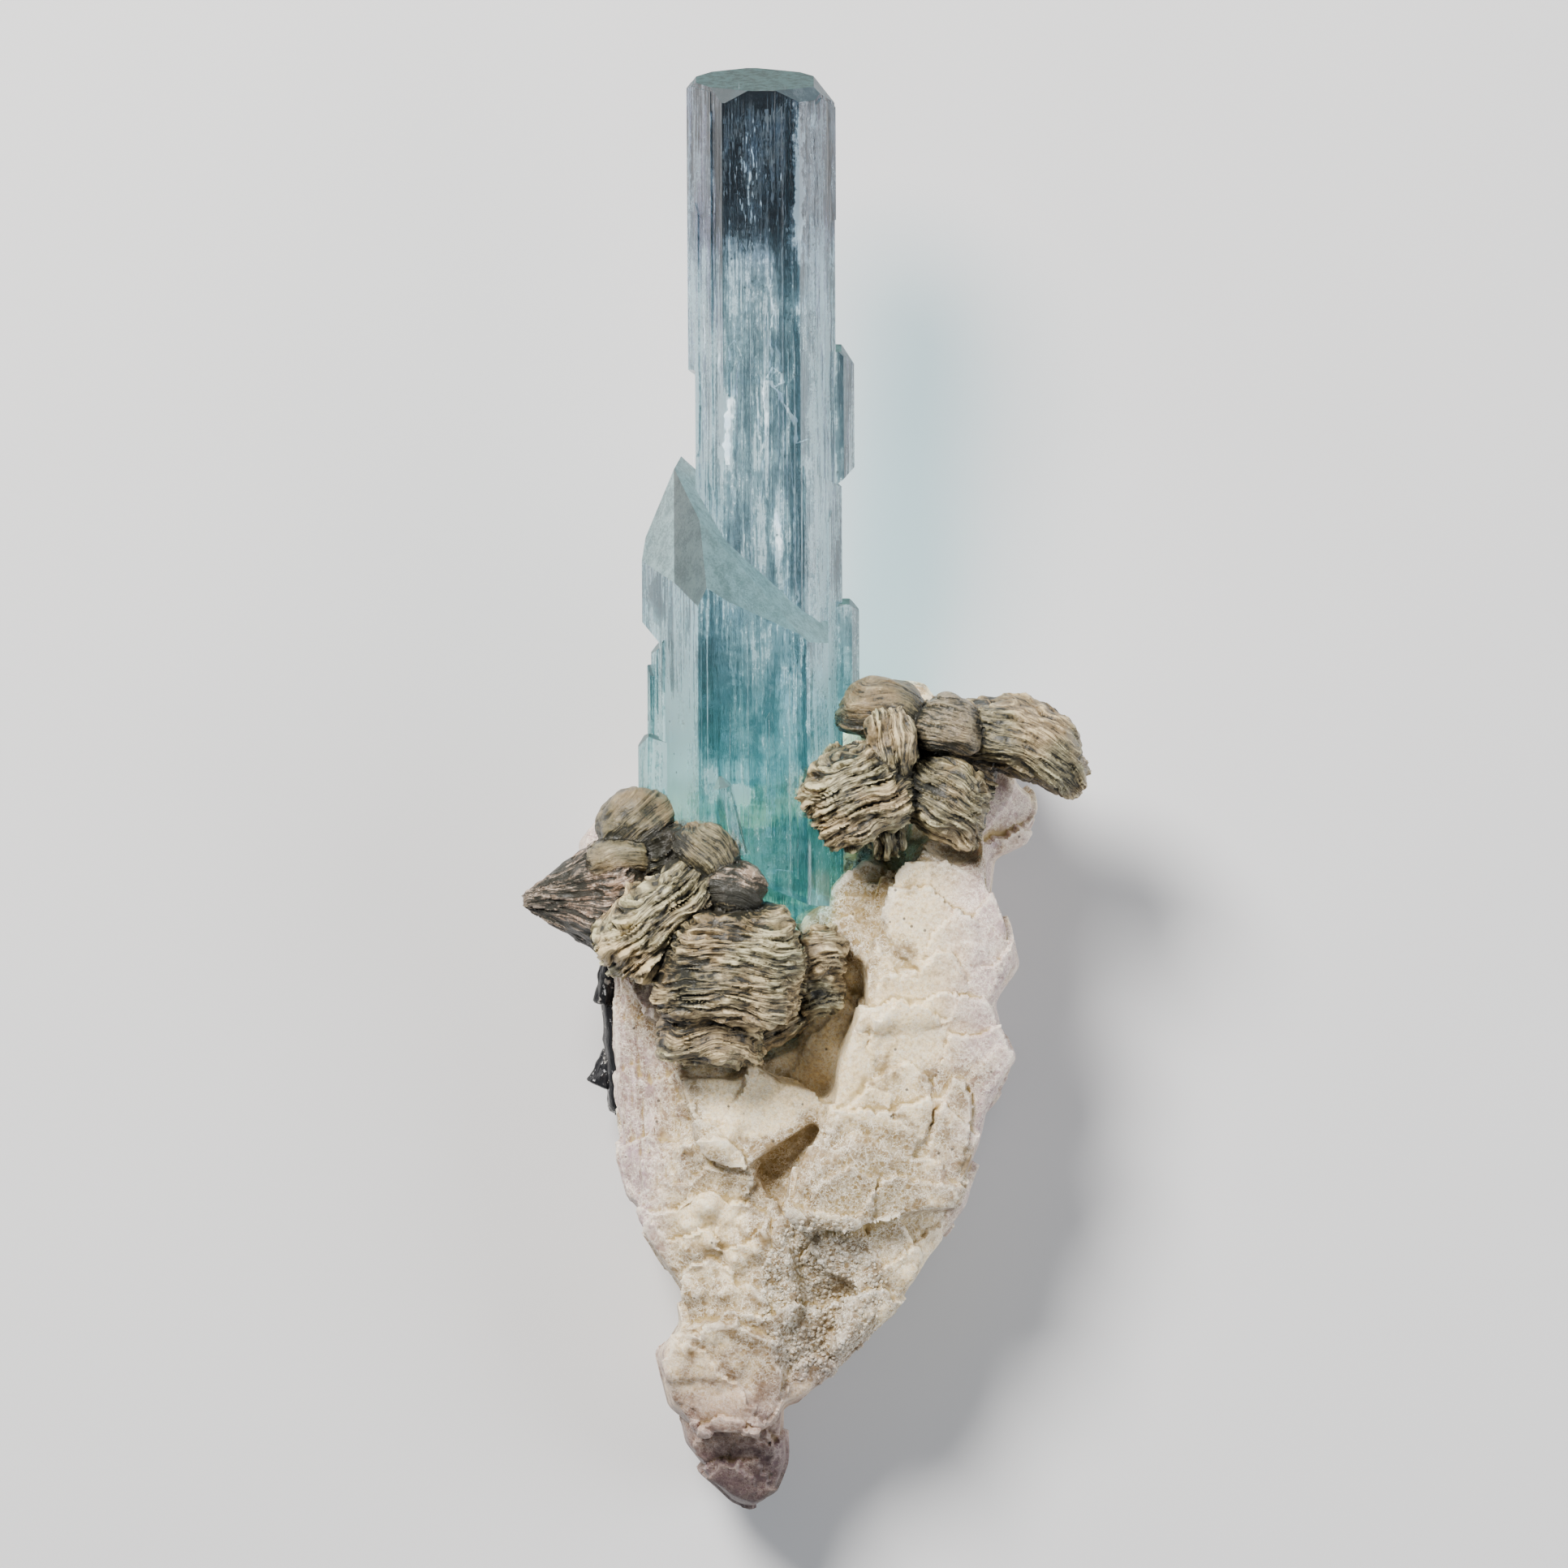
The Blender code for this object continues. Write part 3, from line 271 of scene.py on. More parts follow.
class SPECIMEN_PG_crystal(bpy.types.PropertyGroup):
    # The clear colours are painted shade: the clear crystal is painted dark for what is seen through it.
    foot_dark: colour_property("Foot, clear", "Clear parts near the matrix", (0.04, 0.16, 0.175))
    foot_tint: colour_property("Foot", "Tint near the matrix", (0.175, 0.39, 0.405))
    foot_veil: colour_property("Foot, veils", "Veils near the matrix", (0.62, 0.8, 0.81))
    middle_dark: colour_property("Middle, clear", "Clear parts half way up", (0.06, 0.085, 0.1))
    middle_tint: colour_property("Middle", "Tint half way up", (0.18, 0.245, 0.27))
    middle_veil: colour_property("Middle, veils", "Veils half way up", (0.76, 0.81, 0.84))
    tip_dark: colour_property("Tip, clear", "Clear parts near the flat end", (0.012, 0.014, 0.018))
    tip_tint: colour_property("Tip", "Tint near the flat end", (0.11, 0.125, 0.16))
    tip_veil: colour_property("Tip, veils", "Veils near the flat end", (0.6, 0.66, 0.76))
    lavender: colour_property("Side tint", "Cool tint of the side faces", (0.33, 0.29, 0.47))
    etched: colour_property("Etched end", "Colour of the flat end", (0.045, 0.15, 0.13))
    needle: colour_property("Growth tube", "Colour of growth tubes and wisps", (0.9, 0.93, 0.95))
    deep_colour: colour_property("Absorption colour", "Colour that thick crystal takes", (0.35, 0.82, 0.88))
    shadow: colour_property("Shadow", "Colour of the light that passes", (0.72, 0.82, 0.84))
    edge: length_property("Worn edge", "Width of the worn edges between faces", 0.12)
    density: bpy.props.FloatProperty(
        name="Absorption", description="How strongly thick crystal is coloured, per metre",
        default=40.0, min=0.0,
    )
    needles: bpy.props.IntProperty(name="Growth tubes", description="How many", default=2600, min=0)
    wisps: bpy.props.IntProperty(name="Wisps", description="Long wavy wisps", default=30, min=0)


class SPECIMEN_PG_mica(bpy.types.PropertyGroup):
    voxel: length_property("Voxel", "Fineness of the mica's surface", 0.2)
    leaf: length_property("Leaf pitch", "From one leaf to the next", 0.34)
    relief: length_property("Relief", "How far the leaves stand in and out", 1.0)
    wave: length_property("Wave", "How far the leaves undulate", 3.2)
    # The edge colour is partly the pale leaf edges and partly a painted highlight.
    edge_and_highlight_colour: colour_property("Edge colour", "Colour of worn leaf edges", (0.6, 0.515, 0.33))
    body_colour: colour_property("Body colour", "Colour between edges", (0.19, 0.15, 0.088))
    rosy_colour: colour_property("Rosy colour", "Colour of the pinkish books", (0.28, 0.2, 0.155))
    # The gap colour is painted shade deep between the leaves.
    gap_shade_colour: colour_property("Gap colour", "Colour deep between leaves", (0.022, 0.02, 0.014))


class SPECIMEN_PG_albite(bpy.types.PropertyGroup):
    voxel: length_property("Voxel", "Fineness of the rock's surface", 0.3)
    lump: length_property("Lump height", "Height of the broad lumps", 0.35)
    grain: length_property("Grain height", "Height of the grains", 0.3)
    sugar: length_property("Sugar grain", "Size of the loose-looking grains", 0.24)
    cream: colour_property("Cream", "Main colour", (0.33, 0.232, 0.112))
    white: colour_property("White", "Colour of fresh faces", (0.97, 0.78, 0.45))
    pink: colour_property("Flank", "Colour of the outer flanks", (0.5, 0.36, 0.42))
    vein: colour_property("Vein", "Colour of the fine net of veins", (1.0, 0.93, 0.78))
    # Ochre and the deep colour in the hollows are partly stain and partly painted shade.
    ochre: colour_property("Ochre", "Colour of shallow hollows", (0.4, 0.29, 0.12))
    deep_stain_and_shade: colour_property("Stain", "Colour deep in the hollows", (0.3, 0.21, 0.11))


class SPECIMEN_PG_schorl(bpy.types.PropertyGroup):
    colour: colour_property("Colour", "Colour of the black crystal", (0.012, 0.012, 0.014))
    flute: length_property("Flute depth", "Depth of the grooves along it", 0.2)


class SPECIMEN_PG_stage(bpy.types.PropertyGroup):
    floor_colour: colour_property("Floor colour", "Colour of the floor", (0.66, 0.66, 0.67))
    key_power: power_property("Key light", "Power of the large soft light", 17.0)
    fill_power: power_property("Fill light", "Power of the fill light", 3.6)
    sky: bpy.props.FloatProperty(name="Sky", description="Strength of the even light", default=0.2, min=0.0)


# Meshes

def show(mesh, name):
    made = bpy.data.objects.new(name, mesh)
    bpy.context.scene.collection.objects.link(made)
    return made


def object_from(bm, name, smooth=False):
    """Turn millimetres into metres and put the mesh in the scene."""
    bmesh.ops.scale(bm, vec=(MM, MM, MM), verts=bm.verts)
    for face in bm.faces:
        face.smooth = smooth
    mesh = bpy.data.meshes.new(name)
    bm.to_mesh(mesh)
    bm.free()
    return show(mesh, name)


def merged_copy(node, name):
    """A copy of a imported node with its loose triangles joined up."""
    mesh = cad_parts[node].data.copy()
    mesh.name = name
    mesh.materials.clear()
    bm = bmesh.new()
    bm.from_mesh(mesh)
    bmesh.ops.remove_doubles(bm, verts=bm.verts, dist=JOINED_WITHIN)
    bm.to_mesh(mesh)
    bm.free()
    return show(mesh, name)


def skin(bm, loops, flipped=False):
    """Faces between one loop of vertices and the next, and at both ends."""
    count = len(loops[0])
    for lower, upper in zip(loops, loops[1:]):
        for here in range(count):
            after = (here + 1) % count
            corners = [lower[here], upper[here], upper[after], lower[after]]
            bm.faces.new(corners[:1] + corners[:0:-1] if flipped else corners)
    for loop, backwards in ((loops[0], flipped), (loops[-1], not flipped)):
        bm.faces.new(loop[::-1] if backwards else loop)


def made_plain(target):
    """Make the mesh what its modifiers give, and drop them."""
    bpy.context.view_layer.update()
    view = bpy.context.evaluated_depsgraph_get()
    result = bpy.data.meshes.new_from_object(target.evaluated_get(view))
    target.modifiers.clear()
    target.data = result
    return target


def fused(target, voxel):
    """Add a modifier that fuses all that overlaps in a mesh."""
    fuse = target.modifiers.new("fuse", "REMESH")
    fuse.mode = "VOXEL"
    fuse.voxel_size = voxel


def grow(target, tree, values):
    """Add a Geometry Nodes modifier with these inputs."""
    modifier = target.modifiers.new(tree.name, "NODES")
    modifier.node_group = tree
    for item in tree.interface.items_tree:
        if item.item_type == "SOCKET" and item.in_out == "INPUT" and item.name in values:
            modifier[item.identifier] = values[item.name]


def creased(target, degrees):
    """Bring a mesh under the most triangles a piece may have, and keep its sharp edges."""
    count = sum(len(face.vertices) - 2 for face in target.data.polygons)
    if count > MOST_TRIANGLES:
        fewer = target.modifiers.new("fewer", "DECIMATE")
        fewer.ratio = MOST_TRIANGLES / count
        made_plain(target)
    target.data.set_sharp_from_angle(angle=math.radians(degrees))


def finish_piece(piece, material, nodes=()):
    """Give a piece its material, put it under the root, and hide the imported nodes it takes the place of.
    """
    if not piece.data.polygons:
        raise RuntimeError(f"{piece.name} came out empty")
    piece.data.materials.clear()
    piece.data.materials.append(material)
    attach(piece, "root")
    if nodes:
        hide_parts(*nodes)


# Node trees, written as formulas

def step(operation, backwards=False):
    """A method that works out one operation of a wire and what it is given."""
    def method(self, *others):
        values = (*others, self) if backwards else (self, *others)
        return self.maths(operation, *values)
    return method


class Wire:
    """An output of a node. A sum, product or mask of it adds the nodes that work it out."""

    def __init__(self, tree, socket):
        self.tree = tree
        self.socket = socket

    def maths(self, operation, first, second=0.0, clamp=False):
        values = {0: first, 1: second}
        return output(self.tree, "ShaderNodeMath", values, operation=operation, use_clamp=clamp)

    __add__ = step("ADD")
    __radd__ = step("ADD", backwards=True)
    __sub__ = step("SUBTRACT")
    __rsub__ = step("SUBTRACT", backwards=True)
    __mul__ = step("MULTIPLY")
    __truediv__ = step("DIVIDE")
    __pow__ = step("POWER")
    __abs__ = step("ABSOLUTE")
    floor = step("FLOOR")
    largest = step("MAXIMUM")

    def clamped(self):
        """Kept from 0 to 1."""
        return self.maths("ADD", self, 0.0, clamp=True)

    def around(self, middle, amount):
        """How far it is above its middle, times an amount."""
        return (self - middle) * amount

    def between(self, low, high):
        """0 below low, 1 above high."""
        values = {"Value": self, "From Min": low, "From Max": high}
        return output(self.tree, "ShaderNodeMapRange", values, "Result", interpolation_type="SMOOTHSTEP")

    def fade(self, low, high):
        """1 below low, 0 above high."""
        return 1.0 - self.between(low, high)

    def blend(self, first, second):
        """From the first colour to the second, by this share."""
        return blended(self.tree, self, first, second)

    def tinted(self, colour, share=1.0):
        """A colour multiplied by another, by a share."""
        return blended(self.tree, share, self, colour, "MULTIPLY")

    def axis(self, name):
        return output(self.tree, "ShaderNodeSeparateXYZ", {"Vector": self}, name)


class Place(Wire):
    """A wire that carries a place or a direction."""

    def maths(self, operation, first, second=(0.0, 0.0, 0.0)):
        return output(self.tree, "ShaderNodeVectorMath", {0: first, 1: second}, operation=operation)

    def dot(self, other):
        values = {0: self, 1: other}
        return output(self.tree, "ShaderNodeVectorMath", values, "Value", operation="DOT_PRODUCT")

    def length(self):
        return output(self.tree, "ShaderNodeVectorMath", {0: self}, "Value", operation="LENGTH")

    def scaled(self, factor):
        return output(self.tree, "ShaderNodeVectorMath", {0: self, "Scale": factor}, operation="SCALE")

    def noise(self, scale, detail=3.0, roughness=0.55, distortion=0.0):
        """Noise that repeats this often, alike every way or by axis."""
        place = self
        if isinstance(scale, tuple):
            place, scale = self * scale, 1.0
        values = {"Vector": place, "Scale": scale, "Detail": detail, "Roughness": roughness,
                  "Distortion": distortion}
        return output(self.tree, "ShaderNodeTexNoise", values)

    def patterns(self, table):
        """The noises of a table, by name."""
        return SimpleNamespace(**{name: self.noise(*values) for name, values in table.items()})

    def cells(self, scale, feature="F1"):
        values = {"Vector": self, "Scale": scale}
        return output(self.tree, "ShaderNodeTexVoronoi", values, "Distance", feature=feature)

    def contour(self, scale, low, high):
        """Winding lines of this half width."""
        return abs(self.noise(scale, 4.0, 0.6) - 0.5).fade(low, high)

    def warped(self, scale, amount):
        """The same place, pushed about by noise."""
        values = {"Vector": self, "Scale": scale, "Detail": 2.0}
        push = Place(self.tree, output(self.tree, "ShaderNodeTexNoise", values, "Color").socket)
        return self + (push - (0.5, 0.5, 0.5)).scaled(amount)


def socket_of(sockets, name):
    """The socket in use with this name or number."""
    if isinstance(name, int):
        return sockets[name]
    return next(socket for socket in sockets if socket.name == name and socket.enabled)


def feed(tree, socket, value):
    """Link a socket, or set its value."""
    if isinstance(value, Wire):
        tree.links.new(value.socket, socket)
    else:
        socket.default_value = value


def add(tree, kind, inputs=None, **settings):
    """A new node with its settings, and values or wires for its inputs."""
    made = tree.nodes.new(kind)
    for name, value in settings.items():
        setattr(made, name, value)
    for name, value in (inputs or {}).items():
        feed(tree, socket_of(made.inputs, name), value)
    return made


def wires(tree, sockets):
    """These outputs as wires, by name."""
    return {
        socket.name: Place(tree, socket) if socket.type == "VECTOR" else Wire(tree, socket)
        for socket in sockets if socket.enabled and socket.name
    }


def output(tree, kind, inputs=None, name=0, **settings):
    """What a new node puts out at its socket of this name or number."""
    socket = socket_of(add(tree, kind, inputs, **settings).outputs, name)
    return Place(tree, socket) if socket.type == "VECTOR" else Wire(tree, socket)


def combined(tree, x=0.0, y=0.0, z=0.0):
    return output(tree, "ShaderNodeCombineXYZ", {"X": x, "Y": y, "Z": z})


def opaque(colour):
    """A plain colour with its alpha. A wire stays as it is."""
    return colour if isinstance(colour, Wire) else (*colour, 1.0)


def blended(tree, share, first, second, mode="MIX"):
    made = add(tree, "ShaderNodeMix", data_type="RGBA", blend_type=mode)
    used = [socket for socket in made.inputs if socket.enabled]
    for socket, value in zip(used, (share, opaque(first), opaque(second))):
        feed(tree, socket, value)
    return Wire(tree, next(socket for socket in made.outputs if socket.enabled))


def attribute(tree, name, kind="Fac"):
    return output(tree, "ShaderNodeAttribute", None, kind, attribute_name=name)


def attributes(tree, *names):
    return [attribute(tree, name) for name in names]


def in_millimetres(tree):
    """Object coordinates in millimetres."""
    return output(tree, "ShaderNodeTexCoord", None, "Object").scaled(1.0 / MM)


def in_crystal(tree):
    """Object coordinates in the crystal's own frame, in millimetres."""
    values = {
        "Vector": output(tree, "ShaderNodeTexCoord", None, "Object"), "Location": Vector(CRYSTAL_FOOT) * MM,
        "Rotation": (CRYSTAL_RISE, 0.0, CRYSTAL_LEAN), "Scale": (MM,) * 3,
    }
    return output(tree, "ShaderNodeMapping", values, vector_type="TEXTURE")


def new_material(name):
    """A material with its Principled shader, ready to be wired."""
    material = bpy.data.materials.new(name)
    material.use_nodes = True
    return material, material.node_tree, material.node_tree.nodes["Principled BSDF"]


def wire_shader(tree, shader, colour, rough, height=None, strength=0.0, distance=0.0):
    """Give a shader its colour and roughness, and bumps up to a distance in millimetres."""
    feed(tree, shader.inputs["Base Color"], colour)
    feed(tree, shader.inputs["Roughness"], rough)
    if height is not None:
        bump = {"Height": height, "Strength": strength, "Distance": distance * MM}
        feed(tree, shader.inputs["Normal"], output(tree, "ShaderNodeBump", bump))


def group_socket(tree, name, in_out, value):
    """A socket of a group. Its value is a number, or the kind of socket as a word."""
    kind = value if isinstance(value, str) else "Int" if isinstance(value, int) else "Float"
    socket = tree.interface.new_socket(name, in_out=in_out, socket_type="NodeSocket" + kind)
    if not isinstance(value, str):
        socket.default_value = value


def new_group(name, kind, inputs, outputs):
    """An empty group of this kind, with what it is given and puts out."""
    tree = bpy.data.node_groups.new(name, kind + "NodeTree")
    for label, value in inputs.items():
        group_socket(tree, label, "INPUT", value)
    for label, value in outputs.items():
        group_socket(tree, label, "OUTPUT", value)
    given = wires(tree, tree.nodes.new("NodeGroupInput").outputs)
    return tree, given, tree.nodes.new("NodeGroupOutput").inputs


def geometry_tree(name, inputs):
    """An empty Geometry Nodes tree with number inputs."""
    inputs = {"Geometry": "Geometry", **inputs, "Material": "Material"}
    return new_group(name, "Geometry", inputs, {"Geometry": "Geometry"})


def place_group(tree, name, build, values):
    """Put a group in a tree, built the first time, and give what it puts out."""
    made = tree.nodes.new(tree.bl_idname.replace("Tree", "Group"))
    made.node_tree = bpy.data.node_groups.get(name) or build(name)
    for label, value in values.items():
        feed(tree, made.inputs[label], value)
    return wires(tree, made.outputs)


def streak_group(name):
    """Streaks that run along Y, shared by the crystals, the fibrous rock and the black rods."""
    outputs = dict.fromkeys(("Fine", "Middle", "Height"), "Float")
    tree, given, out = new_group(name, "Shader", {"Vector": "Vector", "Across": 2.0, "Along": 0.1}, outputs)
    run = given["Vector"] * combined(tree, given["Across"], given["Along"], given["Across"])
    fine = run.noise((1.3, 1.6, 1.3), 4.0, 0.65)
    middle = run.noise(0.5, 3.0, 0.6)
    made = {"Fine": fine, "Middle": middle, "Height": fine * 0.4 + middle}
    for label, value in made.items():
        feed(tree, out[label], value)
    return tree


def streaks(place, across, along):
    values = {"Vector": place, "Across": across, "Along": along}
    return place_group(place.tree, "growth_streaks", streak_group, values)


def zone_group(name):
    """1 in a rounded box round a place, fading at its rim."""
    inputs = {"Vector": "Vector", "Middle X": 0.0, "Middle Y": 0.0, "Half X": 1.0, "Half Y": 1.0}
    tree, given, out = new_group(name, "Shader", inputs, {"Mask": "Float"})
    across, along = (
        abs((given["Vector"].axis(axis) - given["Middle " + axis]) / given["Half " + axis]) ** 3.0
        for axis in "XY"
    )
    feed(tree, out["Mask"], ((across + along) ** (1.0 / 3.0)).fade(0.55, 1.3))
    return tree


def zone_mask(place, zone):
    """A zone's bias inside it, 0 outside."""
    zone = Zone(*zone)
    values = {"Vector": place, "Middle X": zone.x, "Middle Y": zone.y, "Half X": zone.half_x,
              "Half Y": zone.half_y}
    return place_group(place.tree, "zone", zone_group, values)["Mask"] * zone.bias


def zones_total(place, zones):
    return sum(zone_mask(place, zone) for zone in zones)


def random_value(tree, low, high, seed, kind="FLOAT"):
    values = {"Min": low, "Max": high, "Seed": seed}
    return output(tree, "FunctionNodeRandomValue", values, "Value", data_type=kind)


def stored(tree, name, kind="FLOAT"):
    return output(tree, "GeometryNodeInputNamedAttribute", {"Name": name}, "Attribute", data_type=kind)


def store(geometry, name, value, kind="FLOAT"):
    values = {"Geometry": geometry, "Name": name, "Value": value}
    return output(geometry.tree, "GeometryNodeStoreNamedAttribute", values, data_type=kind, domain="POINT")


def blurred(value, steps):
    values = {"Value": value, "Iterations": steps}
    return output(value.tree, "GeometryNodeBlurAttribute", values, "Value", data_type="FLOAT_VECTOR")


def turned(turn, angles):
    """A rotation followed by one about its own axes."""
    own = output(turn.tree, "FunctionNodeEulerToRotation", {0: angles})
    return output(turn.tree, "FunctionNodeRotateRotation", {0: turn, 1: own}, rotation_space="LOCAL")


def scattered(points, instance, turn, size, material):
    """A shape at each point, as plain mesh with a material."""
    values = {"Points": points, "Instance": instance, "Rotation": turn, "Scale": size}
    shapes = output(points.tree, "GeometryNodeInstanceOnPoints", values)
    real = output(points.tree, "GeometryNodeRealizeInstances", {"Geometry": shapes})
    return output(points.tree, "GeometryNodeSetMaterial", {"Geometry": real, "Material": material})


def smooth_skin(geometry, material):
    """A geometry shaded smooth, with its material."""
    tree = geometry.tree
    smooth = output(tree, "GeometryNodeSetShadeSmooth", {"Geometry": geometry, "Shade Smooth": True})
    return output(tree, "GeometryNodeSetMaterial", {"Geometry": smooth, "Material": material})


# The aquamarine

IOR = 1.577
CLEAR = 0.85
SAME_WAY = 0.999
WORN_ANGLE = math.radians(20)
TUBE_INPUTS = {"Width": 1.0, "Seed": 3}
FOOT_TO_MIDDLE = (8.0, 36.0)
MIDDLE_TO_TIP = (60.0, 74.0)
SIDE_FACES = (0.5, 0.8)
BEVEL = (0.07, 0.1, 0.11)
PIT = (0.012, 0.045, 0.04)
DASH = (0.55, 0.66, 0.8)
SPECK = (0.02, 0.025, 0.025)
FROST_DARK, FROST_PALE = (0.5, 0.53, 0.52), (1.35, 1.35, 1.35)
BLUE_VEIL = (0.6, 0.72, 0.86)


def crystal_turn():
    return Matrix.Rotation(CRYSTAL_LEAN, 3, "Z") @ Matrix.Rotation(CRYSTAL_RISE, 3, "X")


def to_row(point):
    """A point of the crystal's frame in the row frame, both in millimetres."""
    return crystal_turn() @ Vector(point) + Vector(CRYSTAL_FOOT)


def roof_tint(normal):
    """The tint of the slanting end that a face belongs to, or none."""
    for roof in ROOFS:
        _, b, c = roof.plane
        if normal.dot(Vector((-b, 1.0, -c)).normalized()) > SAME_WAY:
            return roof.tint
    return None


def mark_facets(piece):
    """Store on each face how far it looks along and across the crystal, and the tint of a roof."""
    inverse = crystal_turn().inverted()
    normals = [inverse @ face.normal for face in piece.data.polygons]
    tints = [roof_tint(normal) for normal in normals]
    marks = {
        "end": [normal.y for normal in normals],
        "side": [normal.x for normal in normals],
        "frosted": [float(tint is not None) for tint in tints],
    }
    for name, values in marks.items():
        piece.data.attributes.new(name, "FLOAT", "FACE").data.foreach_set("value", values)
    colours = [value for tint in tints for value in opaque(tint or (0.0, 0.0, 0.0))]
    piece.data.attributes.new("tint", "FLOAT_COLOR", "FACE").data.foreach_set("color", colours)


def by_height(along, settings, kind):
    """A colour that changes from the foot to the tip of the crystal."""
    foot, middle, tip = (getattr(settings, f"{part}_{kind}") for part in ("foot", "middle", "tip"))
    return along.between(*MIDDLE_TO_TIP).blend(along.between(*FOOT_TO_MIDDLE).blend(foot, middle), tip)


def crystal_colour(seen, along, sideways, density, settings):
    """Painted shade where the crystal is clear, dark for what is seen through it, tinted between, white
    where veils are dense.
    """
    dark, tint, veil = (by_height(along, settings, kind) for kind in ("dark", "tint", "veil"))
    lavender = sideways * along.between(22.0, 60.0) * seen.patch.between(0.4, 0.6)
    tint = (lavender * 0.85).blend(tint, settings.lavender)
    colour = density.between(0.3, 0.5).blend(dark, tint)
    return density.between(0.52, 0.7).blend(colour, veil)


def see_through(tree, shader, settings):
    """Let lamps shine through the crystal with its colour, and colour what is thick."""
    surface, volume = (tree.nodes["Material Output"].inputs[name] for name in ("Surface", "Volume"))
    clear = output(tree, "ShaderNodeBsdfTransparent", {"Color": opaque(settings.shadow)})
    shadows = output(tree, "ShaderNodeLightPath", None, "Is Shadow Ray")
    body = Wire(tree, shader.outputs[0])
    feed(tree, surface, output(tree, "ShaderNodeMixShader", {0: shadows, 1: body, 2: clear}))
    absorb = {"Color": opaque(settings.deep_colour), "Density": settings.density}
    feed(tree, volume, output(tree, "ShaderNodeVolumeAbsorption", absorb))


def aquamarine_material(settings):
    """Clear crystal: see-through, striated, coloured by its depth."""
    material, tree, shader = new_material("aquamarine")
    place = in_crystal(tree)
    along = place.axis("Y")
    side, end, frosted = attributes(tree, "side", "end", "frosted")
    sideways = abs(side).between(*SIDE_FACES)
    seen = place.patterns(CRYSTAL_PATTERNS)
    streak = streaks(place.warped(0.2, 0.5), 2.8, 0.06)
    density = zones_total(place.warped(0.5, 1.2).warped(1.8, 0.6), CRYSTAL_ZONES) + 0.48
    density += side.fade(-0.75, -0.45) * along.fade(60.0, 72.0) * 0.14
    lines = streak["Fine"].around(0.5, 1.2) + streak["Middle"].around(0.5, 0.8)
    lines *= seen.calm.between(0.38, 0.6) * 0.8 + 0.35
    lines *= along.between(12.0, 34.0) * 0.4 + 0.6
    lines *= sideways * 0.9 + 1.0
    density += lines
    for value, amount in ((seen.broken, 0.7), (seen.torn, 0.5), (seen.speck, 0.6)):
        density += value.around(0.5, amount)
    colour = crystal_colour(seen, along, sideways, density, settings)
    dash = seen.dash + zone_mask(place.warped(0.5, 1.6), DASHED) * 0.1
    dash = dash.between(0.675, 0.75) * along.between(62.0, 72.0)
    colour = (dash * 0.75).blend(colour, DASH)
    colour = (end.between(0.3, 0.5) * 0.8).blend(colour, BEVEL)
    flat_end = end.between(0.93, 0.98)
    colour = flat_end.blend(colour, seen.pit.between(0.4, 0.58).blend(PIT, settings.etched))
    worn = seen.grain + seen.scratch.around(0.5, 1.4)
    # The roof tint paints each facet lighter or darker, partly its own colour and partly painted light and
    # shade.
    frost = attribute(tree, "tint", "Color").tinted(worn.between(0.25, 0.75).blend(FROST_DARK, FROST_PALE))
    colour = frosted.blend(colour, frost)
    dot = place.cells(0.42).fade(0.045, 0.075)
    colour = (dot * 0.85).blend(colour, SPECK)
    matt = frosted.largest(end.between(0.2, 0.6))
    rough = (density.between(0.45, 0.75) * 0.3 + 0.04).largest(matt * 0.5).largest(flat_end * 0.9)
    height = matt.blend(streak["Height"], seen.grain * 0.6 + flat_end * seen.pit)
    wire_shader(tree, shader, colour, rough, height, 0.6, 0.25)
    shader.inputs["Metallic"].default_value = 0.0
    shader.inputs["IOR"].default_value = IOR
    shader.inputs["Transmission Weight"].default_value = CLEAR
    see_through(tree, shader, settings)
    return material


def inclusion_material(settings):
    """White tubes and wisps with a little of the crystal's blue."""
    material, tree, shader = new_material("inclusion")
    place = in_crystal(tree)
    colour = place.noise(0.5, 2.0).between(0.35, 0.65).blend(settings.needle, BLUE_VEIL)
    wire_shader(tree, shader, colour, 0.4, place.noise(5.0), 0.4, 0.1)
    return material


class SPECIMEN_OT_crystal(bpy.types.Operator):
    """Make the aquamarine crystal group"""
    bl_idname = "specimen.crystal"
    bl_label = "Aquamarine"

    def execute(self, context):
        settings = context.scene.specimen_crystal
        piece = merged_copy("aquamarine_crystal", "aquamarine")
        mark_facets(piece)
        worn = piece.modifiers.new("worn_edges", "BEVEL")
        worn.width = settings.edge
        worn.segments = 2
        worn.limit_method = "ANGLE"
        worn.angle_limit = WORN_ANGLE
        worn.use_clamp_overlap = True
        made_plain(piece)
        finish_piece(piece, aquamarine_material(settings), ["aquamarine_crystal"])
        return {"FINISHED"}


def inside_hexagon(x, z, flat):
    slope = math.sqrt(0.75)
    return max(abs(z), abs(slope * x + 0.5 * z), abs(slope * x - 0.5 * z)) < flat


def inside_crystal(x, y, z):
    """Whether a place in the crystal's frame lies well inside one of its two big prisms."""
    if inside_hexagon(x, z, MAIN_FLAT - 0.5) and 1.5 < y < CRYSTAL_LENGTH - 2.5:
        return True
    cx, cz = SECOND_CENTRE
    return inside_hexagon(x - cx, z - cz, SECOND_FLAT) and 4.0 < y < SECOND_TOP


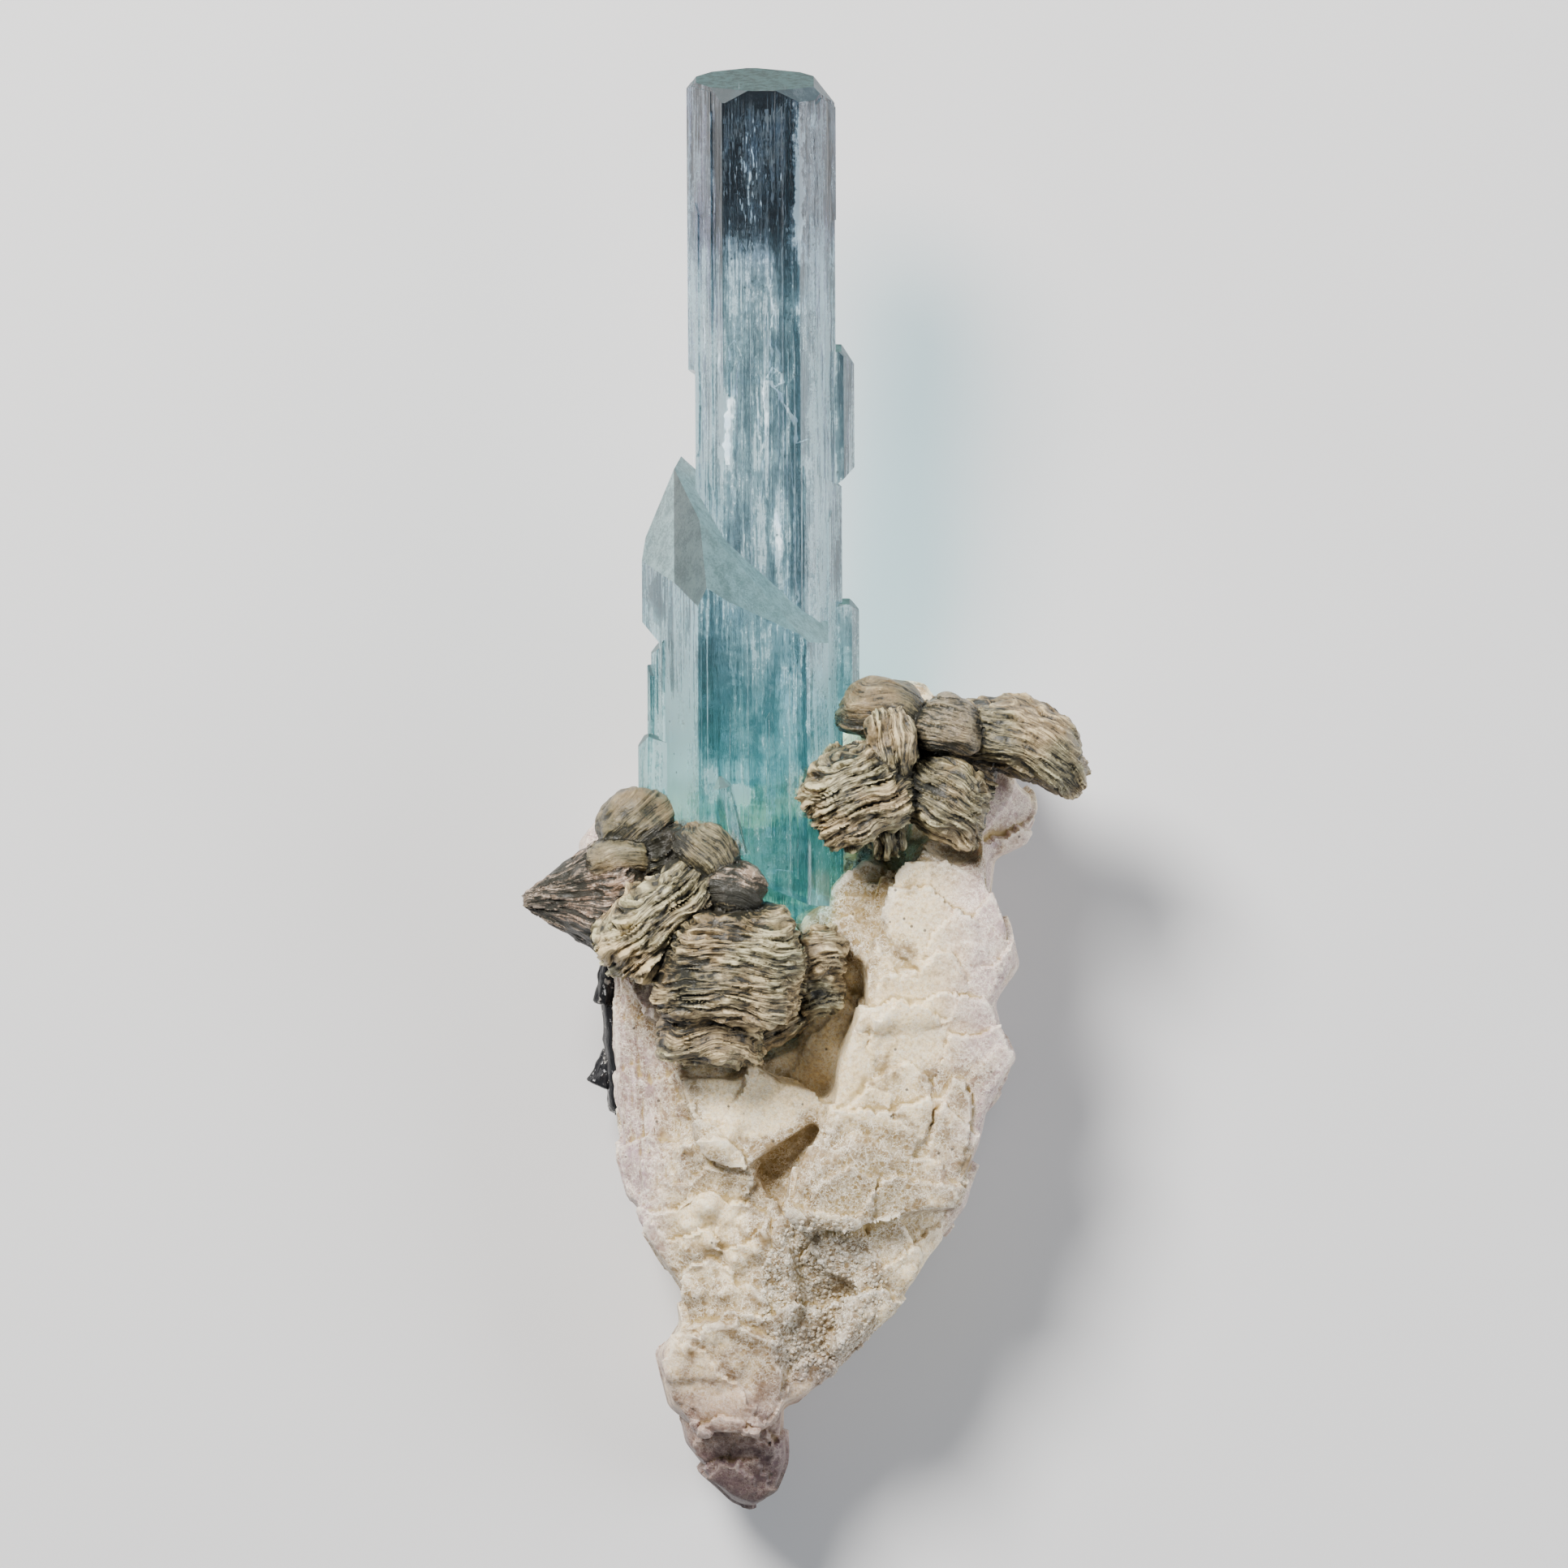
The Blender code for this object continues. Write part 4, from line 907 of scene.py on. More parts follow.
def needle_points(count):
    """Scattered places for growth tubes, denser in clouds, with their lengths and widths."""
    dice = random.Random(7)
    points, lengths, widths = [], [], []
    while len(points) < count:
        x, y, z = (dice.uniform(*span) for span in TUBE_SPANS)
        near_tip = len(points) < TUBES_NEAR_TIP
        if near_tip:
            x, y, z = (dice.uniform(*span) for span in TIP_SPANS)
        if not inside_crystal(x, y, z):
            continue
        cloud = noise.noise(Vector((x * 0.45, y * 0.05, z * 0.45)))
        cloud += 0.6 * noise.noise(Vector((x * 0.2, y * 0.11, z * 0.2 + 9.0)))
        if cloud < dice.uniform(-0.2, 0.5):
            continue
        points.append(to_row((x, y, z)) * MM)
        length, width = LONG_TUBE if dice.random() < LONG_SHARE else SHORT_TUBE
        lengths.append(dice.uniform(*length))
        widths.append(dice.uniform(*width) * (WIDER_NEAR_TIP if near_tip else 1.0))
    return points, lengths, widths


def needle_tree():
    """A five-sided sliver along the crystal at each point."""
    tree, given, out = geometry_tree("growth_tubes", TUBE_INPUTS)
    sliver = output(tree, "GeometryNodeMeshUVSphere", {"Segments": 5, "Rings": 3, "Radius": 0.5 * MM})
    wide = stored(tree, "wide") * given["Width"]
    size = combined(tree, wide, wide * 0.6, stored(tree, "long"))
    lying = (math.pi / 2 + CRYSTAL_RISE, 0.0, CRYSTAL_LEAN)
    spin = random_value(tree, 0.0, math.pi, given["Seed"])
    turn = turned(output(tree, "FunctionNodeEulerToRotation", {0: lying}), combined(tree, z=spin))
    feed(tree, out["Geometry"], scattered(given["Geometry"], sliver, turn, size, given["Material"]))
    return tree


def ribbon(bm, middles, reaches):
    """A thin closed ribbon through these places in the crystal's frame."""
    loops = []
    for middle, reach in zip(middles, reaches):
        corners = ((reach, 0.0), (0.0, HALF_THICK), (-reach, 0.0), (0.0, -HALF_THICK))
        loops.append([bm.verts.new(to_row(middle + Vector((a, 0.0, b)))) for a, b in corners])
    skin(bm, loops)


def wandering_wisp(bm, dice):
    """A thin wavy ribbon that wanders up the crystal, just under its front."""
    while True:
        x, y, z = (dice.uniform(*span) for span in WISP_SPANS)
        if inside_crystal(x, y, z):
            break
    length, seed = dice.uniform(4.0, 15.0), dice.uniform(0.0, 99.0)
    width = dice.uniform(0.06, 0.18)
    steps = int(length / WANDERING_STEP)
    middles, reaches = [], []
    for step in range(steps + 1):
        share = step / steps
        sway = noise.noise(Vector((step * 0.09, seed, 0.0))) * 1.2
        sway += noise.noise(Vector((step * 0.35, seed, 5.0))) * 0.3
        deep = 0.3 * noise.noise(Vector((step * 0.1, 0.0, seed)))
        middles.append(Vector((x + sway, y + length * share, z + deep)))
        reach = (0.15 + math.sin(math.pi * share)) * (0.6 + noise.noise(Vector((step * 0.5, seed, 2.0))))
        reaches.append(max(width * reach, LEAST_REACH))
    ribbon(bm, middles, reaches)


def chosen_wisp(bm, width, corners, seed):
    """A ribbon through chosen corners, close under the front of the big prism."""
    middles, reaches = [], []
    for (x1, y1), (x2, y2) in zip(corners, corners[1:]):
        steps = max(3, int(math.hypot(x2 - x1, y2 - y1) / CHOSEN_STEP))
        for step in range(steps):
            share = step / steps
            x, y = x1 + share * (x2 - x1), y1 + share * (y2 - y1)
            x += 0.12 * noise.noise(Vector((y * 1.8, seed, 0.0)))
            front = min(MAIN_FLAT, 2.0 * MAIN_FLAT - math.sqrt(3.0) * abs(x))
            middles.append(Vector((x, y, front - BELOW_FRONT)))
            reach = width * (0.75 + 1.3 * noise.noise(Vector((y * 1.3, seed, 4.0))))
            reaches.append(max(reach, LEAST_REACH))
    ribbon(bm, middles, reaches)


class SPECIMEN_OT_inclusions(bpy.types.Operator):
    """Make the growth tubes and wisps inside the crystal"""
    bl_idname = "specimen.inclusions"
    bl_label = "Inclusions"

    def execute(self, context):
        settings = context.scene.specimen_crystal
        material = inclusion_material(settings)
        points, lengths, widths = needle_points(settings.needles)
        mesh = bpy.data.meshes.new("growth_tubes")
        mesh.from_pydata(points, [], [])
        for name, values in (("long", lengths), ("wide", widths)):
            mesh.attributes.new(name, "FLOAT", "POINT").data.foreach_set("value", values)
        tubes = show(mesh, "growth_tubes")
        grow(tubes, needle_tree(), {**TUBE_INPUTS, "Material": material})
        finish_piece(made_plain(tubes), material)
        bm = bmesh.new()
        dice = random.Random(11)
        for _ in range(settings.wisps):
            wandering_wisp(bm, dice)
        for number, (width, *corners) in enumerate(CHOSEN_WISPS):
            chosen_wisp(bm, width, corners, 3.7 * number)
        bmesh.ops.recalc_face_normals(bm, faces=bm.faces)
        finish_piece(object_from(bm, "wisps"), material)
        return {"FINISHED"}


# The mica

GREEN_SHADE, WARM_SHADE = (0.85, 0.93, 0.85), (1.0, 0.88, 0.72)
ROSY_NET = (0.6, 0.49, 0.4)
LOBE_RINGS = 24
LOBE_SIDES = 36
BOOK_APART = 40.0
BULGE = 0.16
# Blur steps that measure hollows and deep places, where the mica's shade is painted.
MICA_BLURS = {"Blur": 14, "Deep Blur": 160}


class BookFrame:
    """Turns places along, deep and up the stack of a book into the row frame, and back."""

    def __init__(self, shape):
        self.shape = shape
        self.place = Vector(shape.place)
        turn, lean = math.radians(shape.heading), math.radians(shape.tip)
        self.line = Vector((math.cos(turn), math.sin(turn), 0.0))
        flat = Vector((-math.sin(turn), math.cos(turn), 0.0))
        self.stack = flat * math.cos(lean) + Vector((0.0, 0.0, math.sin(lean)))
        self.depth = self.line.cross(self.stack)

    def sunk(self, s, r):
        """How far the leaves bend down the stack at a place."""
        along, deep, _ = self.shape.size
        bend = self.shape.dome * ((s / along) ** 2 + 0.4 * (r / deep) ** 2)
        return bend + self.shape.droop * numpy.maximum(0.0, s / along) ** 3

    def narrow(self, s):
        return numpy.maximum(1.0 + self.shape.fan * s / self.shape.size[0], 0.1)

    def outward(self, s, r, level):
        narrow = float(self.narrow(s))
        rise = level * narrow - float(self.sunk(s, r))
        return self.place + self.line * s + self.depth * (r * narrow) + self.stack * rise

    def inward(self, points):
        """Along, deep and level of many points."""
        offsets = points - numpy.array(self.place)
        s = offsets @ numpy.array(self.line)
        narrow = self.narrow(s)
        r = offsets @ numpy.array(self.depth) / narrow
        level = (offsets @ numpy.array(self.stack) + self.sunk(s, r)) / narrow
        return numpy.stack((s, r, level), axis=1)


def rounded(value, square):
    return math.copysign(abs(value) ** (2.0 / square), value)


def lobe(bm, shape, seed):
    """The smooth body of a book, with a few broad bulges."""
    body = BookFrame(shape)
    loops = []
    for ring in range(1, LOBE_RINGS):
        tip = math.pi * (ring / LOBE_RINGS - 0.5)
        wide, high = rounded(math.cos(tip), shape.square), rounded(math.sin(tip), shape.square)
        loop = []
        for step in range(LOBE_SIDES):
            turn = 2.0 * math.pi * step / LOBE_SIDES
            unit = Vector((wide * rounded(math.cos(turn), shape.square),
                           wide * rounded(math.sin(turn), shape.square), high))
            unit *= 1.0 + BULGE * noise.noise(unit * 1.7 + Vector((seed * 3.1, 0.0, 0.0)))
            s, r, level = (a * b for a, b in zip(unit, shape.size))
            loop.append(bm.verts.new(body.outward(s, r, level)))
        loops.append(loop)
    skin(bm, loops, flipped=True)


def mark_books(mesh, books):
    """Store on each vertex where it lies in its nearest book, and what that book is like."""
    points = numpy.empty(len(mesh.vertices) * 3)
    mesh.vertices.foreach_get("co", points)
    points = points.reshape(-1, 3) / MM
    nearest = numpy.full(len(points), 1e9)
    leaf_place = numpy.zeros((len(points), 3))
    marks = {name: numpy.zeros(len(points)) for name in ("torn", "light", "rosy")}
    for number, shape in enumerate(books):
        place = BookFrame(shape).inward(points)
        away = (numpy.abs(place) / numpy.array(shape.size)) ** shape.square
        away = away.sum(axis=1) ** (1.0 / shape.square)
        here = away < nearest
        nearest[here] = away[here]
        place[:, 0] += BOOK_APART * number
        leaf_place[here] = place[here]
        for name, values in marks.items():
            values[here] = getattr(shape, name)
    for name, values in marks.items():
        mesh.attributes.new(name, "FLOAT", "POINT").data.foreach_set("value", values)
    mesh.attributes.new("leaf_place", "FLOAT_VECTOR", "POINT").data.foreach_set("vector", leaf_place.ravel())


def stepped_leaves(place, pitch, run, seed, amount):
    """How far each leaf of this pitch stands out: its own smooth course along its length."""
    number = (place.axis("Z") / pitch).floor()
    course = combined(place.tree, place.axis("X") * run, place.axis("Y") * run, number * seed)
    return course.noise(1.0, 2.0).around(0.5, amount)


def mica_tree():
    """Leaves that stand in and out of the lobes, one by one and in packets."""
    inputs = {"Leaf": 0.4, "Relief": 1.0, "Wave": 4.0, **MICA_BLURS}
    tree, given, out = geometry_tree("mica_surface", inputs)
    torn = stored(tree, "torn")
    leaf = stored(tree, "leaf_place", "FLOAT_VECTOR").warped(0.13, given["Wave"])
    leaf += combined(tree, z=leaf.noise((0.02, 0.02, 0.9), 1.0).around(0.5, 1.6))
    own = stepped_leaves(leaf, given["Leaf"], 0.3, 5.37, 2.5)
    pair = stepped_leaves(leaf, given["Leaf"] * 2.3, 0.18, 7.9, 0.6)
    packet = stepped_leaves(leaf, 2.1, 0.11, 3.71, 1.7)
    height = ((own + pair) * (torn + 0.08) + packet * (torn + 0.35)) * given["Relief"]
    normal = output(tree, "GeometryNodeInputNormal")
    offset = {"Geometry": given["Geometry"], "Offset": normal.scaled(height * MM)}
    geometry = output(tree, "GeometryNodeSetPosition", offset)
    here = output(tree, "GeometryNodeInputPosition")
    # How hollow and how deep each place lies, for the shade painted into the material.
    for name, steps in (("hollow", given["Blur"]), ("deep", given["Deep Blur"])):
        geometry = store(geometry, name, (blurred(here, steps) - here).dot(normal) / MM)
    geometry = store(geometry, "leaf_course", leaf, "FLOAT_VECTOR")
    feed(tree, out["Geometry"], smooth_skin(geometry, given["Material"]))
    return tree


def mica_material(settings):
    """Olive to cream leaf edges with fine dark lines along the leaves, and rosy books with a pale net. Shade
    is painted dark into the hollows, clefts and gaps between leaves, and highlight pale onto ridges and
    ends.
    """
    material, tree, shader = new_material("mica")
    place = in_millimetres(tree)
    rosy, torn, light, hollow, deep = attributes(tree, "rosy", "torn", "light", "hollow", "deep")
    seen = place.patterns(MICA_PATTERNS)
    leaf = attribute(tree, "leaf_course", "Vector").patterns(LEAF_PATTERNS)
    # Lit holds painted light and shade: hollows and deep places between lobes are painted darker, ridges
    # paler.
    lit = light + 0.35 - hollow - deep * 0.3
    lit += zones_total(place.warped(0.3, 2.0), MICA_LIGHT_AND_SHADE_ZONES)
    lines = leaf.fine.around(0.5, 4.4) + leaf.bands.around(0.5, 1.3) - hollow * 0.6
    lit += lines * (torn + 0.14).clamped()
    lit = lit + seen.patches.around(0.5, 1.2) + seen.grit.around(0.5, 1.0)
    body = rosy.blend(settings.body_colour, settings.rosy_colour)
    # Low lit paints shade with the gap colour; high lit gives the edge colour, partly pale edges and partly
    # painted highlight.
    colour = lit.between(-0.05, 0.5).blend(settings.gap_shade_colour, body)
    colour = lit.between(0.5, 1.3).blend(colour, settings.edge_and_highlight_colour)
    colour = colour.tinted(seen.patches.between(0.4, 0.6).blend(GREEN_SHADE, WARM_SHADE), 0.8)
    net = place.contour(0.8, 0.006, 0.045) * rosy * lit.between(0.1, 0.4)
    colour = (net * 0.65).blend(colour, ROSY_NET)
    height = leaf.fine + seen.grit * 0.5 + leaf.bands * 0.7
    wire_shader(tree, shader, colour, seen.grit * 0.35 + 0.27, height, 0.8, 0.3)
    return material


def make_books(name, books, node, settings, material):
    """Fuse the lobes of a cluster of books and split their sides into leaves."""
    bm = bmesh.new()
    for number, shape in enumerate(books):
        lobe(bm, shape, number)
    bmesh.ops.recalc_face_normals(bm, faces=bm.faces)
    piece = object_from(bm, name)
    fused(piece, settings.voxel)
    made_plain(piece)
    mark_books(piece.data, books)
    grow(piece, mica_tree(), {
        "Leaf": settings.leaf / MM, "Relief": settings.relief / MM, "Wave": settings.wave / MM,
        **MICA_BLURS, "Material": material,
    })
    made_plain(piece)
    creased(piece, degrees=60)
    finish_piece(piece, material, [node])


class SPECIMEN_OT_mica(bpy.types.Operator):
    """Make both clusters of mica books"""
    bl_idname = "specimen.mica"
    bl_label = "Mica books"

    def execute(self, context):
        settings = context.scene.specimen_mica
        material = mica_material(settings)
        make_books("mica_left", LEFT_BOOKS, "mica_books_left", settings, material)
        make_books("mica_right", RIGHT_BOOKS, "mica_books_right", settings, material)
        return {"FINISHED"}


# The albite

KNOBBLY = ((-8.8, -48.0), (6.0, 7.0))
SUGARY = ((1.4, -53.5), (7.5, 10.0))
FIBRE_DARK = (0.3, 0.2, 0.15)
BLACK_DUST_AND_SHADE = (0.03, 0.026, 0.02)
SUGAR_GROUND = (0.2, 0.14, 0.075)
MOTTLE_DARK, MOTTLE_PALE = (0.58, 0.53, 0.47), (1.0, 1.0, 1.0)
# Darker towards the lower tip: partly the rock's own tone and partly painted shade.
TIP_TONE_AND_SHADE = ((-66.0, -54.0, (0.68, 0.61, 0.64)), (-74.0, -63.0, (0.3, 0.28, 0.27)))
ROCK_SPECK = (0.05, 0.04, 0.03)
NET_LAYERS = ((0.8, 0.0), (1.5, 30.0))
ROCK_INPUTS = {"Plate Height": 1.0, "Blur": 24, "Deep Blur": 140}
SUGAR_INPUTS = {"Density": 4.0, "Seed": 8}
GLOW, GLOW_RADIUS, GLOW_DEPTH = 0.25, (1.0, 0.75, 0.45), 0.8 * MM


def position_mm(tree):
    return output(tree, "GeometryNodeInputPosition").scaled(1.0 / MM)


def fibrous_place(place):
    """1 on the fibrous column down the left edge."""
    x, y = place.axis("X"), place.axis("Y")
    return x.fade(-13.6, -11.8) * y.between(-46.0, -40.0) * y.fade(-17.0, -12.0)


def oval(place, middle, half):
    """1 in an oval on the front of the rock, fading at its rim."""
    offset = (place - (*middle, 0.0)) * (1.0 / half[0], 1.0 / half[1], 0.0)
    return offset.length().fade(0.6, 1.15)


def plate_group(name):
    """How high a cleavage plate stands at a place: nothing at its foot, most at its free edge."""
    labels = ("Middle X", "Middle Y", "Half Width", "Half Length", "Heading", "Rise")
    inputs = {"Vector": "Vector", **dict.fromkeys(labels, 1.0)}
    tree, given, out = new_group(name, "Geometry", inputs, {"Height": "Float"})
    centre = combined(tree, given["Middle X"], given["Middle Y"])
    values = {"Vector": given["Vector"], "Center": centre, "Angle": given["Heading"] * -1.0}
    offset = output(tree, "ShaderNodeVectorRotate", values, rotation_type="Z_AXIS") - centre
    along = offset.axis("Y") / given["Half Length"]
    wide, long = abs(offset.axis("X") / given["Half Width"]), abs(along)
    inside = ((wide + long) * 0.72).largest(wide.largest(long)).fade(0.96, 1.02)
    feed(tree, out["Height"], (along * 0.5 + 0.5) * given["Rise"] * inside)
    return tree


def chosen_plates(place):
    """The height of the highest of the chosen plates."""
    highest = 0.0
    for plate in (Plate(*row) for row in PLATES):
        values = {"Vector": place, "Middle X": plate.x, "Middle Y": plate.y, "Half Width": plate.half_width,
                  "Half Length": plate.half_length, "Heading": math.radians(plate.heading),
                  "Rise": plate.rise}
        height = place_group(place.tree, "cleavage_plate", plate_group, values)["Height"]
        highest = height.largest(highest)
    return highest


def shingles(place, scale, tilt, step):
    """Scattered small plates, each a tilted flat with its upper edge standing out, and their levels."""
    voronoi = add(place.tree, "ShaderNodeTexVoronoi", {"Vector": place, "Scale": scale})
    cell = wires(place.tree, voronoi.outputs)
    level = cell["Color"].axis("X")
    return (place - cell["Position"]).axis("Y") * tilt + level.around(0.5, step), level


def surface_tree():
    """Lumps, plates, fibres and grains on the rock, and how hollow and how sugary each place is."""
    inputs = {"Lump Height": 0.35, "Grain Height": 0.3, **ROCK_INPUTS}
    tree, given, out = geometry_tree("albite_surface", inputs)
    place = position_mm(tree)
    here = output(tree, "GeometryNodeInputPosition")
    normal = output(tree, "GeometryNodeInputNormal")
    sugary = (oval(place, *SUGARY) + place.noise(0.3)).between(0.9, 1.15)
    torn = place.warped(0.3, 1.6).warped(1.2, 0.8)
    offset = place.noise(0.13, 1.0).around(0.5, 2.0) * given["Lump Height"]
    chosen = chosen_plates(torn) * normal.axis("Z").between(0.4, 0.75) * given["Plate Height"]
    shingle, level = shingles(torn, 0.13, 0.09, 0.35)
    offset = offset + chosen + shingle + place.noise(0.8).around(0.5, 0.6) * sugary
    offset += place.cells(0.42).around(0.5, -1.6) * oval(place, *KNOBBLY)
    offset += place.cells(0.95).around(0.45, -1.0) * given["Grain Height"] * (sugary + 0.05)
    offset += place.noise((1.5, 0.16, 1.5)).around(0.5, 1.5) * fibrous_place(place)
    offset = offset * place.axis("Z").between(0.2, 2.0) * MM
    worn = {"Geometry": given["Geometry"], "Position": blurred(here, 2)}
    geometry = store(output(tree, "GeometryNodeSetPosition", worn), "level", level + chosen * 0.5)
    moved = {"Geometry": geometry, "Offset": normal.scaled(offset)}
    geometry = output(tree, "GeometryNodeSetPosition", moved)
    # How hollow, how creased and how deep each place lies; the material uses these for stain and painted
    # shade.
    for name, steps in (("hollow", given["Blur"]), ("crease", 5)):
        geometry = store(geometry, name, (blurred(here, steps) - here).dot(normal) / MM)
    geometry = store(geometry, "deep", (blurred(here, given["Deep Blur"]) - here).axis("Z") / MM)
    geometry = store(geometry, "sugary", sugary)
    feed(tree, out["Geometry"], smooth_skin(geometry, given["Material"]))
    return tree


def sugar_tree():
    """Small rounded grains on the sugary parts of the rock."""
    tree, given, out = geometry_tree("albite_sugar", {"Size": 0.3, **SUGAR_INPUTS})
    share = (stored(tree, "sugary") * (stored(tree, "hollow").between(-0.25, 0.25) + 0.5)).clamped()
    density = given["Density"] * share * (1.0 / MM ** 2)
    values = {"Mesh": given["Geometry"], "Density": density, "Seed": given["Seed"]}
    kind = "GeometryNodeDistributePointsOnFaces"
    spread = wires(tree, add(tree, kind, values, distribute_method="RANDOM").outputs)
    grain = output(tree, "GeometryNodeMeshIcoSphere", {"Radius": MM, "Subdivisions": 1})
    size = random_value(tree, (0.6, 0.6, 0.4), (1.6, 1.6, 1.0), 3, "FLOAT_VECTOR").scaled(given["Size"])
    yaw, tilt = random_value(tree, 0.0, math.pi, 4), random_value(tree, -0.7, 0.7, 5)
    align = "FunctionNodeAlignRotationToVector"
    turn = output(tree, align, {"Vector": spread["Normal"]}, axis="Z")
    turn = output(tree, align, {"Rotation": turn, "Vector": (0.0, 1.0, 0.0)}, axis="Y", pivot_axis="Z")
    turn = turned(turn, combined(tree, x=tilt, z=yaw))
    grains = scattered(spread["Points"], grain, turn, size, given["Material"])
    feed(tree, out["Geometry"], store(grains, "grain", 1.0))
    return tree


def albite_colour(tree, place, settings):
    """Cream with a net of white veins, pinkish flanks, and ochre to brown in the hollows. The ochre, brown
    and near black in the hollows and creases are partly stain and partly painted shade; the pinkish flanks
    and the darker lower tip are partly their own tone and partly painted shade; pale convex edges are a
    painted highlight.
    """
    hollow, deep, crease, sugary, grain, level = attributes(
        tree, "hollow", "deep", "crease", "sugary", "grain", "level"
    )
    x, y = place.axis("X"), place.axis("Y")
    seen = place.patterns(ALBITE_PATTERNS)
    stain_and_shade = zones_total(place, STAIN_AND_SHADE_ZONES)
    light = seen.patchy + seen.broad.around(0.5, 0.9) - stain_and_shade * 0.5 + level.around(0.6, 0.22)
    light += y.between(-40.0, -18.0) * 0.12
    colour = light.between(0.38, 0.72).blend(settings.cream, settings.white)
    # The outer flanks turn pinkish grey: partly their own tone and partly painted shade on sides turned from
    # the light.
    flank = (x.between(11.0, 19.0) + x.fade(-17.5, -13.0)).largest(y.fade(-72.0, -60.0)).clamped()
    colour = (flank * seen.broad.between(0.3, 0.55) * 0.8).blend(colour, settings.pink)
    fibre = streaks(place, 1.8, 0.12)["Middle"].fade(0.42, 0.56) * fibrous_place(place)
    colour = (fibre * 0.7).blend(colour, FIBRE_DARK)
    # Depth adds up how hollow and deep a place lies, with the zones: the ochre, brown and near black it
    # gives are partly stain and partly painted shade.
    depth = hollow + seen.fine.around(0.5, 0.8) + seen.broad.around(0.5, 1.2) + deep * 0.3 + stain_and_shade * 0.7
    colour = (depth.between(0.0, 0.7) * 0.8).blend(colour, settings.ochre)
    colour = (depth.between(0.7, 1.7) * 0.8).blend(colour, settings.deep_stain_and_shade)
    colour = depth.between(1.9, 2.6).blend(colour, BLACK_DUST_AND_SHADE)
    colour = (sugary * seen.fine.between(0.35, 0.6) * 0.8).blend(colour, SUGAR_GROUND)
    colour = colour.tinted(seen.fine.between(0.34, 0.66).blend(MOTTLE_DARK, MOTTLE_PALE), 0.85)
    net = place.warped(1.1, 1.4).cells(0.95, "DISTANCE_TO_EDGE").fade(0.02, 0.17) * 0.3
    for scale, shift in NET_LAYERS:
        net = net.largest((place + (shift,) * 3).contour(scale, 0.003, 0.024))
    net = net * seen.patchy.between(0.3, 0.5) * (1.0 - depth.between(0.5, 1.2) * 0.45)
    colour = (net * 0.7).blend(colour, settings.vein)
    # Creases are painted ochre, partly stain and partly painted shade; convex edges are painted pale as a
    # highlight.
    colour = (crease.between(0.05, 0.25) * 0.75).blend(colour, settings.ochre)
    colour = (crease.fade(-0.25, -0.08) * 0.35).blend(colour, settings.vein)
    colour = (grain * seen.fine.between(0.35, 0.65) * 0.45).blend(colour, settings.vein)
    # The lower tip is darkened, partly its own tone and partly painted shade.
    low = y + seen.patchy.around(0.5, 12.0)
    for full, none, shade in TIP_TONE_AND_SHADE:
        colour = colour.tinted(shade, low.fade(full, none))
    colour = (place.cells(0.42).fade(0.05, 0.085) * 0.8).blend(colour, ROCK_SPECK)
    return colour, seen.fine, net, sugary


def albite_material(settings):
    """Creamy translucent rock with fine grain."""
    material, tree, shader = new_material("albite")
    place = in_millimetres(tree)
    colour, fine, net, sugary = albite_colour(tree, place, settings)
    height = place.cells(2.2).around(0.0, -0.8) * (sugary + 0.1) + fine + net * 0.15
    wire_shader(tree, shader, colour, fine * 0.4 + 0.3, height, 0.4, 0.15)
    shader.inputs["Subsurface Weight"].default_value = GLOW
    shader.inputs["Subsurface Radius"].default_value = GLOW_RADIUS
    shader.inputs["Subsurface Scale"].default_value = GLOW_DEPTH
    return material


def add_lumps(mesh):
    """Put the lumps into the rock's mesh, to be fused with it."""
    bm = bmesh.new()
    bm.from_mesh(mesh)
    for middle, half in LUMPS:
        place = Matrix.Translation(Vector(middle) * MM) @ Matrix.Diagonal((*(Vector(half) * MM), 1.0))
        bmesh.ops.create_icosphere(bm, subdivisions=3, radius=1.0, matrix=place)
    bm.to_mesh(mesh)
    bm.free()


class SPECIMEN_OT_albite(bpy.types.Operator):
    """Make the albite matrix with its cleavage plates and grains"""
    bl_idname = "specimen.albite"
    bl_label = "Albite"

    def execute(self, context):
        settings = context.scene.specimen_albite
        material = albite_material(settings)
        piece = merged_copy("albite_matrix", "albite")
        add_lumps(piece.data)
        fused(piece, settings.voxel)
        grow(piece, surface_tree(), {
            "Lump Height": settings.lump / MM, "Grain Height": settings.grain / MM, **ROCK_INPUTS,
            "Material": material,
        })
        made_plain(piece)
        creased(piece, degrees=45)
        grains = show(piece.data.copy(), "albite_grains")
        grow(grains, sugar_tree(), {"Size": settings.sugar / MM, **SUGAR_INPUTS, "Material": material})
        finish_piece(made_plain(grains), material)
        finish_piece(piece, material, ["albite_matrix"])
        return {"FINISHED"}


# The schorl

ROD_SIDES = 42
ROD_RINGS = 22
ROCK_DUST = (0.55, 0.52, 0.47)


